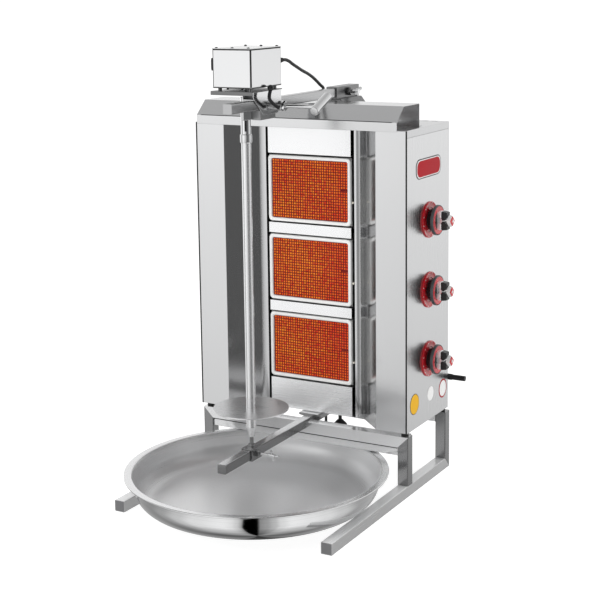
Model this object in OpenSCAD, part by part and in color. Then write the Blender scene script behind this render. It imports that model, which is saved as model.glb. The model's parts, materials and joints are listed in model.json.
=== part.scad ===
// Upright gas rotisserie: a cabinet with three stacked ceramic burners on a tube stand,
// a motor on a sliding carriage that turns a vertical spit, and a drip pan on the rails.
// X is across the front, Y runs to the back, Z is up.  Shapes are drawn with Y = 0 on the
// front face of the wings and X = 0 on the spit, then moved so that the origin is the
// centre of the footprint.

/* [Cabinet] */
// Width over the side panels
cab_w = 520; // [500:5:560]
// Depth, front face to back panel
cab_d = 222; // [215:1:260]
// Height of the cabinet's underside
cab_z = 144; // [140:1:170]
// Height of the cabinet body
cab_h = 652; // [645:1:700]
// Sheet thickness
sheet = 1.2; // [1:0.1:1.5]
// Width of each wing's front face
wing_w = 73; // [60:1:80]
// Depth of the cooking recess between the wings
recess_d = 53; // [45:1:60]
// Width of the flat strip between a wing's slope and the burner channel
strip_w = 22; // [18:1:26]
// Depth of the lip that folds down from the top plate
lip_h = 16; // [12:1:20]

/* [Burners] */
// Width of a burner frame
burner_w = 206; // [200:1:210]
// Height of a burner frame
burner_h = 149; // [145:1:151]
// Height of the lowest burner's centre
burner_z = 292; // [290:1:296]
// Distance between burner centres
burner_pitch = 179; // [177:1:182]
// Width of the channel that the burner column stands in
channel_w = 220; // [218:1:230]

/* [Controls] */
// Distance of the knob axes behind the front face
knob_y = 115; // [110:1:118]
// Height of the lowest knob's centre
knob_z = 284; // [280:1:296]
// Distance between knob centres
knob_pitch = 154.5; // [150:0.5:156]

/* [Stand] */
// Side of the square tube
tube = 25; // [25:1:26]
// Wall of the tubes
wall = 1.5; // [1.2:0.1:2]
// Front end of the rails, ahead of the wings
rail_fwd = 347; // [320:1:380]
// Gap between the stand and the cabinet
stand_gap = 10; // [8:1:12]

/* [Spit] */
// Distance of the spit ahead of the wings
spit_fwd = 212; // [200:1:220]
// Diameter of the spit
spit_d = 20; // [18:1:20]
// Diameter of the meat disc
disc_d = 158; // [120:2:180]
// Height of the meat disc
disc_z = 224; // [215:1:260]
// Side of the square tube of the two arms
arm = 20; // [20:0.5:21]
// Height of the upper arm's centre line
arm_z = 860; // [858:1:864]
// Distance of the upper arm to the right of the spit
arm_x = 26; // [26:1:30]

/* [Drip pan] */
// Diameter over the rim
pan_d = 560; // [540:2:570]
// Height of the rim
pan_top = 88; // [84:1:92]
// Distance of the pan's centre ahead of the wings
pan_fwd = 194; // [188:1:205]

/* [Motor] */
// Width of the motor box
motor_w = 90; // [84:1:94]
// Depth of the motor box
motor_d = 120; // [112:1:124]
// Height of the motor box
motor_h = 78; // [74:1:84]

/* [Hidden] */
$fn = 48;

// Cabinet
half_w = cab_w / 2;
cab_top = cab_z + cab_h;
wing_in = half_w - wing_w;
half_channel = channel_w / 2;
strip_out = half_channel + strip_w;
slope_turn = atan2(recess_d, wing_in - strip_out);
// Shift of a bend's inner corner in a sheet that turns by an angle
function fold(turn) = sheet * tan(turn / 2);
burner_zs = [for (i = [0:2]) burner_z + i * burner_pitch];
knob_zs = [for (i = [0:2]) knob_z + i * knob_pitch];

// Burner column, from front to back
column_y = 51;
frame_y = 49;
frame_t = 8;
tile_t = 12;
box_back = 105;
channel_back = 120;
divider_h = 23;
venturi_y = 86;
venturi_r = 12;

// Stand
stand_top = cab_z - stand_gap;
rail_back = cab_d + 11;
front_y = 5;
rear_bolt_y = cab_d - 6.5;
bolt_r = 3;
bolts = [for (x = [-1, 1], y = [front_y + tube / 2, rear_bolt_y])
    [x * (half_w - tube / 2), y]];

// Hood
hood_w = cab_w - 30;
hood_lip = [-18, cab_top - 2];
hood_lip_h = 20;
hood_slope = [35, 31];
hood_flat = 79;

// Spit line and arms
spit_y = -spit_fwd;
spit_r = spit_d / 2;
spit_top = 800;
spit_cone = 184;
spit_tip = 164;
pin_r = 4;
shaft_r = 6;
run = 0.06;
arm_front = -323;
lower_arm_z = stand_top - 5;
lower_front = -331;
screw_y = spit_y + 48;
screw_z = arm_z - 5;
sleeve_screw_y = 170;

// Motor box, from its left front lower corner
motor_at = [2 - motor_w / 2, spit_y - 54, 897];
gland_at = [35, motor_at[1] + motor_d, 945];
tray_z = motor_at[2] - 10;

// Gas line
valve_x = [203, 235];
manifold_at = [219, knob_y + 22];
inlet_z = 211;
inlet_y = cab_d + 14;
nozzle_r = 6;
spindle_r = 3;
plug_r = 6;
panel_x = half_w;

// Knob, along X from the side panel
bezel_r = 39.5;
bezel_t = 3.5;
skirt_r = 23;
rim_r = 33;
rim_x = [panel_x + 15.5, panel_x + 23];
grip_x = panel_x + 45;
knob_end = panel_x + 56;

// Drip pan
pan_y = -pan_fwd;
pan_floor = tube - 4.5;
pan_wall = pan_d / 2 - 16;
pan_bend = 45;
pan_flare = 4;
pan_t = 1.5;

// Power cord: route of its middle line, chosen by hand
cord_r = 3.5;
relief = 24;
cord_path = [[35, -121.5, 945], [35, -108, 944.6], [34.6, -93, 941], [33, -76, 934.5],
    [30.5, -52, 926.5], [27, -22, 917], [22.5, 10, 908.5], [17, 42, 898.6],
    [11.5, 70, 888.5], [6, 97, 878], [-1, 124, 869], [-14, 143, 858], [-29, 160, 843],
    [-43, 176, 826], [-54, 190, 811], [-61.5, 202, 803.5], [-65.3, 214, 801.2],
    [-66, 226, 798.8], [-66, 235.5, 792.5], [-66, 241.8, 783], [-66, 244, 772],
    [-66, 244, 720], [-66, 244, 640], [-66, 244, 560], [-66, 244, 480], [-66, 244, 400],
    [-66, 244, 320], [-66, 244, 240], [-66, 244, 160], [-66, 244, 90], [-66, 244, 33],
    [-66, 246.2, 22], [-66, 252.5, 12.5], [-66, 262, 6.2], [-66, 273, 4], [-66, 278, 4]];
coil_at = [-28, 302];
coil_r = 38;
coil_turn = 2 * cord_r;
tail_path = [[-14, 340, 10], [4, 340, 13], [22, 340, 17], [40, 340, 18.5]];
plug_r_out = 18.5;
plug_x = [30, 58, 92];

// The origin is the middle of the box over everything but the cord
x_mid = (knob_end - pan_d / 2) / 2;
y_mid = (inlet_y + nozzle_r + 1 + pan_y - pan_d / 2) / 2;

// ---------------------------------------------------------------- helpers

// Moves a part from the drawing position to the part's own frame
module placed() { translate([-x_mid, -y_mid, 0]) children(); }

// Block between two bounds on each axis
module block(x, y, z) {
    translate([x[0], y[0], z[0]]) cube([x[1] - x[0], y[1] - y[0], z[1] - z[0]]);
}

module rod_x(x, y, z, r, r2 = -1) {
    translate([x[0], y, z]) rotate([0, 90, 0])
        cylinder(h = x[1] - x[0], r1 = r, r2 = r2 < 0 ? r : r2);
}

module rod_y(x, y, z, r, r2 = -1) {
    translate([x, y[0], z]) rotate([-90, 0, 0])
        cylinder(h = y[1] - y[0], r1 = r, r2 = r2 < 0 ? r : r2);
}

module rod_z(x, y, z, r, r2 = -1) {
    translate([x, y, z[0]]) cylinder(h = z[1] - z[0], r1 = r, r2 = r2 < 0 ? r : r2);
}

// Extrusion along X of an outline given in Y and Z
module along_x(x) {
    translate([x[0], 0, 0]) rotate([90, 0, 90]) linear_extrude(x[1] - x[0]) children();
}

// Extrusion along Y of an outline given in X and Z
module along_y(y) {
    translate([0, y[1], 0]) rotate([90, 0, 0]) linear_extrude(y[1] - y[0]) children();
}

module mirrored(side) { if (side < 0) mirror([1, 0, 0]) children(); else children(); }

// Rounded rectangle about the origin, with true arcs
module rounded(w, h, r) {
    square([w - 2 * r, h], center = true);
    square([w, h - 2 * r], center = true);
    for (x = [-1, 1], y = [-1, 1])
        translate([x * (w / 2 - r), y * (h / 2 - r)]) circle(r);
}

// Square tube of the arms along Y, closed at its front end
module arm_tube(x, y, z) {
    difference() {
        block([x - arm / 2, x + arm / 2], y, [z - arm / 2, z + arm / 2]);
        block([x - arm / 2 + wall, x + arm / 2 - wall], [y[0] + wall, y[1] + 1],
            [z - arm / 2 + wall, z + arm / 2 - wall]);
    }
}

// Plain square tube along X
module bar_x(x, y, z) {
    difference() {
        block(x, y, z);
        block([x[0] - 1, x[1] + 1], [y[0] + wall, y[1] - wall], [z[0] + wall, z[1] - wall]);
    }
}

// Round bar through points, with a slightly larger ball at each turn
module bent_bar(points, r) {
    for (i = [1:len(points) - 1]) {
        step = points[i] - points[i - 1];
        turn = atan2(norm([step[0], step[1]]), step[2]);
        translate(points[i - 1]) rotate([0, turn, atan2(step[1], step[0])])
            cylinder(h = norm(step), r = r);
        if (i < len(points) - 1) translate(points[i]) sphere(r * 1.1);
    }
}

// Tube swept along points, with rings that stand square to the path
module swept(points, r, sides = 8) {
    last = len(points) - 1;
    function unit(v) = v / norm(v);
    function ahead(i) = unit(points[min(i + 1, last)] - points[max(i - 1, 0)]);
    function across(i) = unit(cross(ahead(i), abs(ahead(i)[0]) < 0.8 ? [1, 0, 0] : [0, 0, 1]));
    ring = [for (i = [0:last], k = [0:sides - 1])
        let (a = 360 * k / sides, u = across(i), v = cross(ahead(i), u))
        points[i] + r * (cos(a) * u + sin(a) * v)];
    skin = [for (i = [0:last - 1], k = [0:sides - 1])
        let (a = i * sides + k, b = i * sides + (k + 1) % sides)
        [a, b, b + sides, a + sides]];
    start = [for (k = [sides - 1:-1:0]) k];
    end = [for (k = [0:sides - 1]) last * sides + k];
    polyhedron(points = ring, faces = concat(skin, [start, end]));
}

// ------------------------------------------------------------------ stand

module rail() {
    difference() {
        along_x([half_w - tube, half_w])
            polygon([[-rail_fwd, 0], [rail_back, 0], [rail_back - tube, tube],
                [-rail_fwd, tube]]);
        along_x([half_w - tube + wall, half_w - wall])
            polygon([[wall - rail_fwd, wall], [rail_back - wall, wall],
                [rail_back - tube + wall, tube - wall], [wall - rail_fwd, tube - wall]]);
    }
}

module rear_leg() {
    difference() {
        along_x([half_w - tube, half_w])
            polygon([[rail_back, 0], [rail_back, stand_top], [rail_back - tube, stand_top],
                [rail_back - tube, tube]]);
        along_x([half_w - tube + wall, half_w - wall])
            polygon([[rail_back - wall, wall], [rail_back - wall, stand_top - wall],
                [rail_back - tube + wall, stand_top - wall],
                [rail_back - tube + wall, tube - wall]]);
        rod_z(half_w - tube / 2, rear_bolt_y, [stand_top - 5, stand_top + 1], bolt_r);
    }
}

module front_leg() {
    difference() {
        along_y([front_y, front_y + tube])
            polygon([[half_w - tube, tube], [half_w, tube], [half_w, stand_top],
                [half_w - tube, stand_top - tube]]);
        along_y([front_y + wall, front_y + tube - wall])
            polygon([[half_w - tube + wall, tube - 1], [half_w - wall, tube - 1],
                [half_w - wall, stand_top - wall],
                [half_w - tube + wall, stand_top - tube + wall]]);
    }
}

module rails() placed() color("silver") for (s = [-1, 1]) mirrored(s) rail();

module legs() placed() color("silver")
    for (s = [-1, 1]) mirrored(s) {
        front_leg();
        rear_leg();
    }

module front_crossbar() placed() color("silver")
    difference() {
        along_y([front_y, front_y + tube])
            polygon([[-half_w, stand_top], [half_w, stand_top],
                [half_w - tube, stand_top - tube], [tube - half_w, stand_top - tube]]);
        along_y([front_y + wall, front_y + tube - wall])
            polygon([[wall - half_w, stand_top - wall], [half_w - wall, stand_top - wall],
                [half_w - tube + wall, stand_top - tube + wall],
                [tube - half_w - wall, stand_top - tube + wall]]);
        // Seat of the lower arm
        block([-arm / 2, arm / 2], [front_y - 1, front_y + tube + 1],
            [lower_arm_z - arm / 2, stand_top + 1]);
        for (s = [-1, 1])
            rod_z(s * (half_w - tube / 2), front_y + tube / 2,
                [stand_top - 5, stand_top + 1], bolt_r);
    }

module lower_crossbar() placed() color("silver")
    bar_x([tube - half_w, half_w - tube], [front_y + 4, front_y + 24],
        [stand_top - tube - 19, stand_top - tube]);

module rear_crossbar() placed() color("silver")
    bar_x([tube - half_w, half_w - tube], [rail_back - tube, rail_back],
        [stand_top - tube, stand_top]);

module cabinet_spacers() placed() color("#222222")
    for (b = bolts) difference() {
        rod_z(b[0], b[1], [stand_top, cab_z], 8);
        rod_z(b[0], b[1], [stand_top - 1, cab_z + 1], bolt_r);
    }

// Domed bolts through the bottom plate, the spacers and the tube, with nuts below
module cabinet_bolts() placed() color("gray")
    for (b = bolts) {
        rod_z(b[0], b[1], [stand_top - 10, cab_z + sheet], bolt_r - 0.1);
        rod_z(b[0], b[1], [cab_z + sheet, cab_z + sheet + 3.5], 5.2, 4);
        translate([b[0], b[1], stand_top - wall - 5]) cylinder(h = 5, r = 5, $fn = 6);
    }

module centre_foot() placed() color("#2a2a2a") {
    rod_z(42, 110, [112, cab_z], 4);
    rod_z(42, 110, [104, 114], 16, 7);
}

// ---------------------------------------------------------------- cabinet

module side_panel() block([half_w - sheet, half_w], [0, cab_d], [cab_z, cab_top - lip_h]);

module side_panel_left() placed() color("silver") mirrored(-1) side_panel();

module side_panel_right() placed() color("silver")
    difference() {
        side_panel();
        for (z = knob_zs) rod_x([half_w - 3, half_w + 1], knob_y, z, 5);
    }

// Folded sheet: front face, slope into the recess, and the strip beside the channel
module wing() {
    bend = fold(slope_turn);
    translate([0, 0, cab_z]) linear_extrude(cab_h - sheet)
        polygon([[half_w - sheet, 0], [wing_in, 0], [strip_out, recess_d],
            [half_channel, recess_d], [half_channel, recess_d + sheet],
            [strip_out + bend, recess_d + sheet], [wing_in + bend, sheet],
            [half_w - sheet, sheet]]);
}

module wing_left() placed() color("lightgray") mirrored(-1) wing();
module wing_right() placed() color("lightgray") wing();

module back_panel() placed() color("silver")
    difference() {
        block([sheet - half_w, half_w - sheet], [cab_d - sheet, cab_d],
            [cab_z, cab_top - sheet]);
        for (x = [-198:36:198])
            block([x - 3, x + 3], [cab_d - 3, cab_d + 1], [cab_top - 106, cab_top - 66]);
        rod_y(manifold_at[0], [cab_d - 3, cab_d + 1], inlet_z, 7.5);
    }

module bottom_plate() placed() color("silver")
    difference() {
        bend = fold(slope_turn);
        half = [[half_w - sheet, sheet], [wing_in + bend, sheet],
            [strip_out + bend, recess_d + sheet]];
        translate([0, 0, cab_z]) linear_extrude(sheet)
            polygon(concat([[half_w - sheet, cab_d - sheet]], half,
                [for (i = [2:-1:0]) [-half[i][0], half[i][1]]],
                [[sheet - half_w, cab_d - sheet]]));
        for (b = bolts) rod_z(b[0], b[1], [cab_z - 1, cab_z + 3], bolt_r);
    }

module top_plate() placed() color("silver") {
    difference() {
        block([-half_w, half_w], [0, cab_d], [cab_top - sheet, cab_top]);
        // The recess opens upwards into the hood
        translate([0, 0, cab_top - 3]) linear_extrude(6)
            polygon([[-wing_in, -1], [wing_in, -1], [wing_in, 0], [strip_out, recess_d],
                [-strip_out, recess_d], [-wing_in, 0]]);
        for (s = [-1, 1], x = [114:22:224])
            block(s > 0 ? [x, x + 14] : [-x - 14, -x], [cab_d - 16, cab_d - 11],
                [cab_top - 3, cab_top + 1]);
    }
    for (s = [-1, 1]) mirrored(s)
        block([half_w - sheet, half_w], [0, cab_d], [cab_top - lip_h + 0.3, cab_top - sheet]);
}

// Folded heat deflector, open at both ends
module hood() placed() color("silver") {
    a = hood_lip;
    b = a + [0, hood_lip_h];
    c = b + hood_slope;
    d = c + [hood_flat, 0];
    rise = atan2(hood_slope[1], hood_slope[0]);
    along_x([-hood_w / 2, hood_w / 2])
        polygon([a, b, c, d, [d[0], cab_top + sheet], [d[0] + 12, cab_top + sheet],
            [d[0] + 12, cab_top], [d[0] - sheet, cab_top], [d[0] - sheet, d[1] - sheet],
            [c[0] + fold(rise), c[1] - sheet], [b[0] + sheet, b[1] - fold(90 - rise)],
            [a[0] + sheet, a[1]]]);
}

// Dark channel behind the burner column
module burner_channel() placed() color("#1c1c1c")
    difference() {
        translate([0, 0, cab_z + sheet]) linear_extrude(cab_h - 2 * sheet) difference() {
            translate([-half_channel - sheet, recess_d + sheet])
                square([channel_w + 2 * sheet, channel_back - recess_d - sheet]);
            translate([-half_channel, recess_d])
                square([channel_w, channel_back - recess_d - sheet]);
        }
        for (z = burner_zs)
            rod_x([half_channel - 3, half_channel + 3], venturi_y, z, venturi_r + 1);
    }

// Panel of the column: a front face with a shelf at the top and at the bottom
module column_panel(z) {
    half = burner_w / 2;
    back = channel_back - sheet;
    block([-half, half], [column_y, column_y + sheet], z);
    block([-half, half], [column_y, back], [z[0], z[0] + sheet]);
    block([-half, half], [column_y, back], [z[1] - sheet, z[1]]);
}

module column_panels() placed() color("lightgray") {
    column_panel([cab_z + sheet + 0.8, burner_zs[0] - burner_h / 2 - 4]);
    for (i = [0, 1]) {
        middle = (burner_zs[i] + burner_zs[i + 1]) / 2;
        column_panel([middle - divider_h / 2, middle + divider_h / 2]);
    }
    column_panel([burner_zs[2] + burner_h / 2 + 4, cab_top - sheet - 1]);
}

// ---------------------------------------------------------------- burners

module burner_frames() placed() color("white")
    for (z = burner_zs)
        translate([0, 0, z]) along_y([frame_y, frame_y + frame_t]) difference() {
            rounded(burner_w, burner_h, 8);
            rounded(burner_w - 16, burner_h - 16, 5);
        }

module ceramic_tiles() placed() color("orangered")
    for (z = burner_zs, i = [-1:1], k = [-1, 1]) {
        w = 64;
        h = 68;
        translate([i * (w + 0.4), frame_y + frame_t, z + k * (h + 0.4) / 2])
            translate([-w / 2, 0, -h / 2]) cube([w, tile_t, h]);
    }

// Open steel box behind each frame, with its mixing tube to the right
module burner_boxes() placed() color("gray")
    for (z = burner_zs) {
        hw = burner_w / 2;
        hh = burner_h / 2;
        difference() {
            block([-hw, hw], [frame_y + frame_t, box_back], [z - hh, z + hh]);
            block([sheet - hw, hw - sheet], [frame_y, box_back - sheet],
                [z - hh + sheet, z + hh - sheet]);
            rod_x([hw - 3, hw + 3], venturi_y, z, venturi_r - sheet);
        }
        difference() {
            rod_x([hw, 150], venturi_y, z, venturi_r);
            rod_x([hw - 1, 151], venturi_y, z, venturi_r - sheet);
        }
    }

module flame_probes() placed() color("ivory")
    for (z = burner_zs)
        rod_y(half_channel - 3.5, [column_y + 2, channel_back - sheet], z - 22, 2.2);

// --------------------------------------------------------------- gas line

module gas_manifold() placed() color("goldenrod")
    difference() {
        rod_z(manifold_at[0], manifold_at[1], [inlet_z + 10, knob_zs[2] + 30], 9);
        rod_z(manifold_at[0], manifold_at[1], [inlet_z, knob_zs[2] + 26], 7);
    }

module valve_bodies() placed() color("goldenrod")
    for (z = knob_zs) difference() {
        union() {
            block(valve_x, [knob_y - 13, knob_y + 13], [z - 15, z + 15]);
            block([valve_x[0], valve_x[0] + 14], [venturi_y - 7, knob_y], [z - 7, z + 7]);
            rod_x([valve_x[1], panel_x - 4], knob_y, z, 7);
        }
        rod_x([valve_x[0] + 8, valve_x[0] + 26], knob_y, z, plug_r + run);
        rod_x([valve_x[0] + 20, panel_x], knob_y, z, spindle_r + 0.3);
    }

// Tapered gas plug of one valve, which the knob turns
module valve_plug(z) {
    difference() {
        rod_x([valve_x[0] + 9, valve_x[0] + 25], knob_y, z, plug_r);
        rod_x([valve_x[0], panel_x], knob_y, z, spindle_r + 0.05);
    }
}

module valve_plug_lower() placed() color("goldenrod") valve_plug(knob_zs[0]);
module valve_plug_middle() placed() color("goldenrod") valve_plug(knob_zs[1]);
module valve_plug_upper() placed() color("goldenrod") valve_plug(knob_zs[2]);

module burner_pipes() placed() color("peru")
    for (i = [0:2]) {
        x = [valve_x[0], 180, 158, 148];
        rod_x([x[3], x[2]], venturi_y, burner_zs[i], 4, 6);
        if (knob_zs[i] == burner_zs[i])
            rod_x([x[2], x[0]], venturi_y, burner_zs[i], 4);
        else
            bent_bar([[x[2], venturi_y, burner_zs[i]], [x[1], venturi_y, burner_zs[i]],
                [x[1], venturi_y, knob_zs[i]], [x[0], venturi_y, knob_zs[i]]], 4);
    }

module gas_inlet() placed() color("#333333") {
    x = manifold_at[0];
    rod_z(x, manifold_at[1], [inlet_z, inlet_z + 10], 9);
    translate([x, manifold_at[1], inlet_z]) sphere(9);
    rod_y(x, [manifold_at[1], inlet_y], inlet_z, 7);
    translate([x, inlet_y, inlet_z]) sphere(7);
    rod_x([x, 264], inlet_y, inlet_z, 7);
    rod_x([264, 296], inlet_y, inlet_z, nozzle_r);
}

// --------------------------------------------------------------- controls

module knob_bezels() placed() color("firebrick")
    for (z = knob_zs) translate([panel_x, knob_y, z]) rotate([0, 90, 0]) difference() {
        cylinder(h = bezel_t, r = bezel_r);
        translate([0, 0, -1]) cylinder(h = bezel_t + 2, r = skirt_r + 3.5);
    }

// Knob with its spindle, a separate solid
module knob(z) {
    difference() {
        union() {
            rod_x([panel_x + 4, rim_x[0]], knob_y, z, skirt_r, skirt_r + 1.5);
            rod_x(rim_x, knob_y, z, rim_r);
            block([rim_x[1], grip_x], [knob_y - 8, knob_y + 8], [z - 21, z + 21]);
            translate([grip_x - 1, knob_y, z]) rotate([45, 0, 0])
                translate([0, -9, -9]) cube([knob_end - grip_x + 1, 18, 18]);
        }
        rod_x([panel_x, panel_x + 22], knob_y, z, spindle_r);
    }
    rod_x([valve_x[0] + 14, panel_x + 22], knob_y, z, spindle_r);
}

module knob_lower() placed() color("#181818") knob(knob_zs[0]);
module knob_middle() placed() color("#181818") knob(knob_zs[1]);
module knob_upper() placed() color("#181818") knob(knob_zs[2]);

module on_panel(y, z) translate([panel_x, y, z]) rotate([90, 0, 90]) children();

module blank_badge() placed() color("firebrick")
    on_panel(110, 708) linear_extrude(1) rounded(130, 43, 6);

module yellow_sticker() placed() color("gold") on_panel(39, 200) cylinder(h = 0.4, r = 23);

module white_stickers() placed() color("white") {
    on_panel(124, 202) cylinder(h = 0.4, r = 16);
    on_panel(192, 196) cylinder(h = 0.4, r = 21.5);
}

// -------------------------------------------------------------- upper arm

module upper_arm() placed() color("silver") arm_tube(arm_x, [arm_front, cab_d], arm_z);

module arm_sleeve() placed() color("gray")
    difference() {
        half = arm / 2 + 3;
        union() {
            block([arm_x - half, arm_x + half], [112, 220], [arm_z - half, arm_z + half]);
            rod_x([arm_x + half, arm_x + half + 8], sleeve_screw_y, arm_z, 9);
        }
        block([arm_x - arm / 2, arm_x + arm / 2], [111, 221],
            [arm_z - arm / 2, arm_z + arm / 2]);
        rod_x([arm_x + arm / 2 - 1, arm_x + half + 9], sleeve_screw_y, arm_z, pin_r + run);
    }

// Bent sheet that carries the sleeve over the top plate
module arm_pedestal() placed() color("gray") {
    t = 2;
    top = arm_z - arm / 2 - 3;
    half = [[22, top], [60, cab_top + t], [72, cab_top + t], [72, cab_top],
        [60 - t * 0.6, cab_top], [22 - t * 0.6, top - t]];
    along_y([112, 215]) translate([arm_x, 0])
        polygon(concat(half, [for (i = [5:-1:0]) [-half[i][0], half[i][1]]]));
}

module sleeve_screw() placed() color("silver") {
    x = arm_x + arm / 2 + 0.3;
    rod_x([x, x + 32], sleeve_screw_y, arm_z, pin_r);
    translate([x + 29, sleeve_screw_y, arm_z]) rotate([35, 0, 0])
        translate([-3, -15, -4]) cube([6, 30, 8]);
}

// --------------------------------------------------------- motor carriage

module carriage_bracket() placed() color("lightgray") {
    inner = arm / 2 + 0.5;
    top = arm_z + arm / 2 + 0.5;
    left = arm_x - inner;
    right = arm_x + inner;
    web = [spit_y - 34, spit_y + 70];
    block([left - 2, right + 2], web, [top, top + 2.5]);
    // Left cheek
    block([left - 2, left], web, [arm_z - 30, tray_z]);
    // Right cheek, cut off on a slope, with the boss of the clamping screw
    difference() {
        union() {
            along_x([right, right + 2])
                polygon([[spit_y - 39, tray_z], [spit_y - 34, arm_z + 16],
                    [spit_y + 6, arm_z - 21], [spit_y + 62, arm_z - 21],
                    [spit_y + 79, arm_z - 9], [spit_y + 79, tray_z]]);
            rod_x([right + 2, right + 24], screw_y, screw_z, 8);
        }
        rod_x([right - 1, right + 25], screw_y, screw_z, pin_r + run);
    }
}

module carriage_block() placed() color("gray")
    block([arm_x - arm / 2 - 0.5, arm_x + arm / 2 + 0.5], [spit_y - 2, spit_y + 58],
        [arm_z - 31, arm_z - arm / 2 - 0.5]);

// Clamping screw with a thick cross handle through its head
module carriage_screw() placed() color("silver") {
    x = arm_x + arm / 2 + 0.4;
    rod_x([x, 131], screw_y, screw_z, pin_r);
    rod_x([131, 149], screw_y, screw_z, 7);
    translate([140, screw_y, screw_z]) rotate([24, 0, 0])
        rod_y(0, [-19, 47], 0, 9.5);
}

// Cranked lever on the boss of the clamping screw
module release_lever() placed() color("#303030") {
    x = arm_x + 29;
    hub = [x, screw_y, screw_z];
    difference() {
        rod_x([x - 4, x + 4], screw_y, screw_z, 12);
        rod_x([x - 5, x + 5], screw_y, screw_z, 8 + run);
    }
    bent_bar([hub + [0, -10.5, 3.3], hub + [0, -48, 15], hub + [0, -41, 34]], 3.5);
    translate(hub + [0, -41, 39]) sphere(6.5);
}

// Folded tray under the motor box, on four welded distance pieces
module motor_tray() placed() color("gray") {
    x = [motor_at[0] - 10, motor_at[0] + motor_w - 2];
    y = [motor_at[1] + 7, motor_at[1] + motor_d + 6];
    difference() {
        union() {
            block(x, y, [tray_z, tray_z + 2]);
            block(x, [y[0], y[0] + 2], [tray_z - 6, tray_z]);
            block([x[0], x[0] + 2], y, [tray_z - 6, tray_z]);
        }
        rod_z(0, spit_y, [tray_z - 1, tray_z + 3], spit_r + 3.5);
    }
    for (dx = [10, motor_w - 10], dy = [12, motor_d - 12])
        rod_z(motor_at[0] + dx, motor_at[1] + dy, [tray_z + 2, motor_at[2]], 4);
}

module motor_base() placed() color("gray")
    difference() {
        translate(motor_at) cube([motor_w, motor_d, sheet]);
        rod_z(0, spit_y, [motor_at[2] - 1, motor_at[2] + 3], spit_r + 3.5);
    }

module motor_cover() placed() color("silver")
    difference() {
        union() {
            translate(motor_at + [0, 0, sheet]) cube([motor_w, motor_d, motor_h - sheet]);
            for (dx = [8, motor_w / 2, motor_w - 8], dy = [4, motor_d - 4])
                rod_z(motor_at[0] + dx, motor_at[1] + dy,
                    [motor_at[2] + motor_h, motor_at[2] + motor_h + 1.8], 3, 1.8);
        }
        translate(motor_at + [sheet, sheet, 0])
            cube([motor_w - 2 * sheet, motor_d - 2 * sheet, motor_h - sheet]);
        rod_y(gland_at[0], [gland_at[1] - 3, gland_at[1] + 1], gland_at[2], 5);
    }

// Gearbox with its output bore, and the motor can on top
module gearmotor() placed() color("dimgray") {
    z = motor_at[2] + sheet;
    difference() {
        block([-32, 34], [spit_y - 38, spit_y + 44], [z, z + 32]);
        rod_z(0, spit_y, [z - 1, z + 33], shaft_r + run);
    }
    rod_z(1, spit_y + 6, [z + 32, z + 70], 27);
}

// ------------------------------------------------------------- spit train

module drive_shaft() placed() color("silver")
    rod_z(0, spit_y, [spit_top - 14, motor_at[2] + 29], shaft_r);

// Sleeve that locks the spit to the drive shaft, and lifts to free it
module coupler() placed() color("silver")
    translate([0, spit_y, 0]) rotate_extrude()
        polygon([[shaft_r + run, spit_top + 0.5], [shaft_r + run, spit_top + 75],
            [spit_r + 0.5, spit_top + 75], [spit_r + 0.5, spit_top],
            [spit_r + 2.3, spit_top - 2], [spit_r + 2.3, spit_top - 18],
            [spit_r + run, spit_top - 18], [spit_r + run, spit_top + 0.5]]);

module spit() placed() color("gainsboro")
    difference() {
        translate([0, spit_y, 0]) rotate_extrude()
            polygon([[0, spit_tip + 14.4], [pin_r + run, spit_tip + 14.4],
                [pin_r + run, spit_tip], [pin_r + 2, spit_tip], [spit_r, spit_cone],
                [spit_r, spit_top], [shaft_r, spit_top], [shaft_r, spit_top - 14],
                [0, spit_top - 14]]);
        rod_x([-spit_r - 1, spit_r + 1], spit_y, disc_z + 9, 1.5);
    }

module meat_disc() placed() color("silver")
    difference() {
        union() {
            rod_z(0, spit_y, [disc_z, disc_z + 2.5], disc_d / 2);
            rod_z(0, spit_y, [disc_z - 5, disc_z], spit_r + 6);
        }
        rod_z(0, spit_y, [disc_z - 6, disc_z + 3], spit_r);
    }

// -------------------------------------------------------------- lower arm

// Arm seated in the front crossbar, hung from a strap under the cabinet
module lower_arm() placed() color("silver") {
    arm_tube(0, [lower_front, 165], lower_arm_z);
    block([-24, 24], [35, 165], [lower_arm_z + arm / 2, cab_z]);
}

// Clamp on the lower arm, with the pin that the spit stands on
module lower_clamp() placed() color("gray") {
    half = arm / 2 + 3;
    slot = arm / 2 + 0.4;
    top = lower_arm_z + half;
    difference() {
        union() {
            block([-half, half], [spit_y - 21, spit_y + 21], [lower_arm_z - half, top]);
            rod_x([half, half + 7], spit_y, lower_arm_z, 7);
        }
        block([-slot, slot], [spit_y - 22, spit_y + 22],
            [lower_arm_z - slot, lower_arm_z + slot]);
        rod_x([slot - 1, half + 8], spit_y, lower_arm_z, 3 + run);
    }
    rod_z(0, spit_y, [top, top + 5], 8);
    rod_z(0, spit_y, [top + 5, spit_tip + 8], pin_r);
    rod_z(0, spit_y, [spit_tip + 8, spit_tip + 13], pin_r, 1);
}

module clamp_screw() placed() color("silver") {
    x = arm / 2 + 0.2;
    rod_x([x, 60], spit_y, lower_arm_z, 3);
    rod_x([60, 66], spit_y, lower_arm_z, 4.5);
    translate([50, spit_y, lower_arm_z]) rotate([20, 0, 0]) rod_z(0, 0, [-13, 13], 2);
}

// --------------------------------------------------------------- drip pan

// Points on the pan's round shoulder, from the floor to the wall
function shoulder(r, steps = 8) = [for (i = [0:steps]) let (a = 90 * i / steps)
    [pan_wall - pan_flare - pan_bend + r * sin(a), pan_floor + pan_bend - r * cos(a)]];

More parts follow.
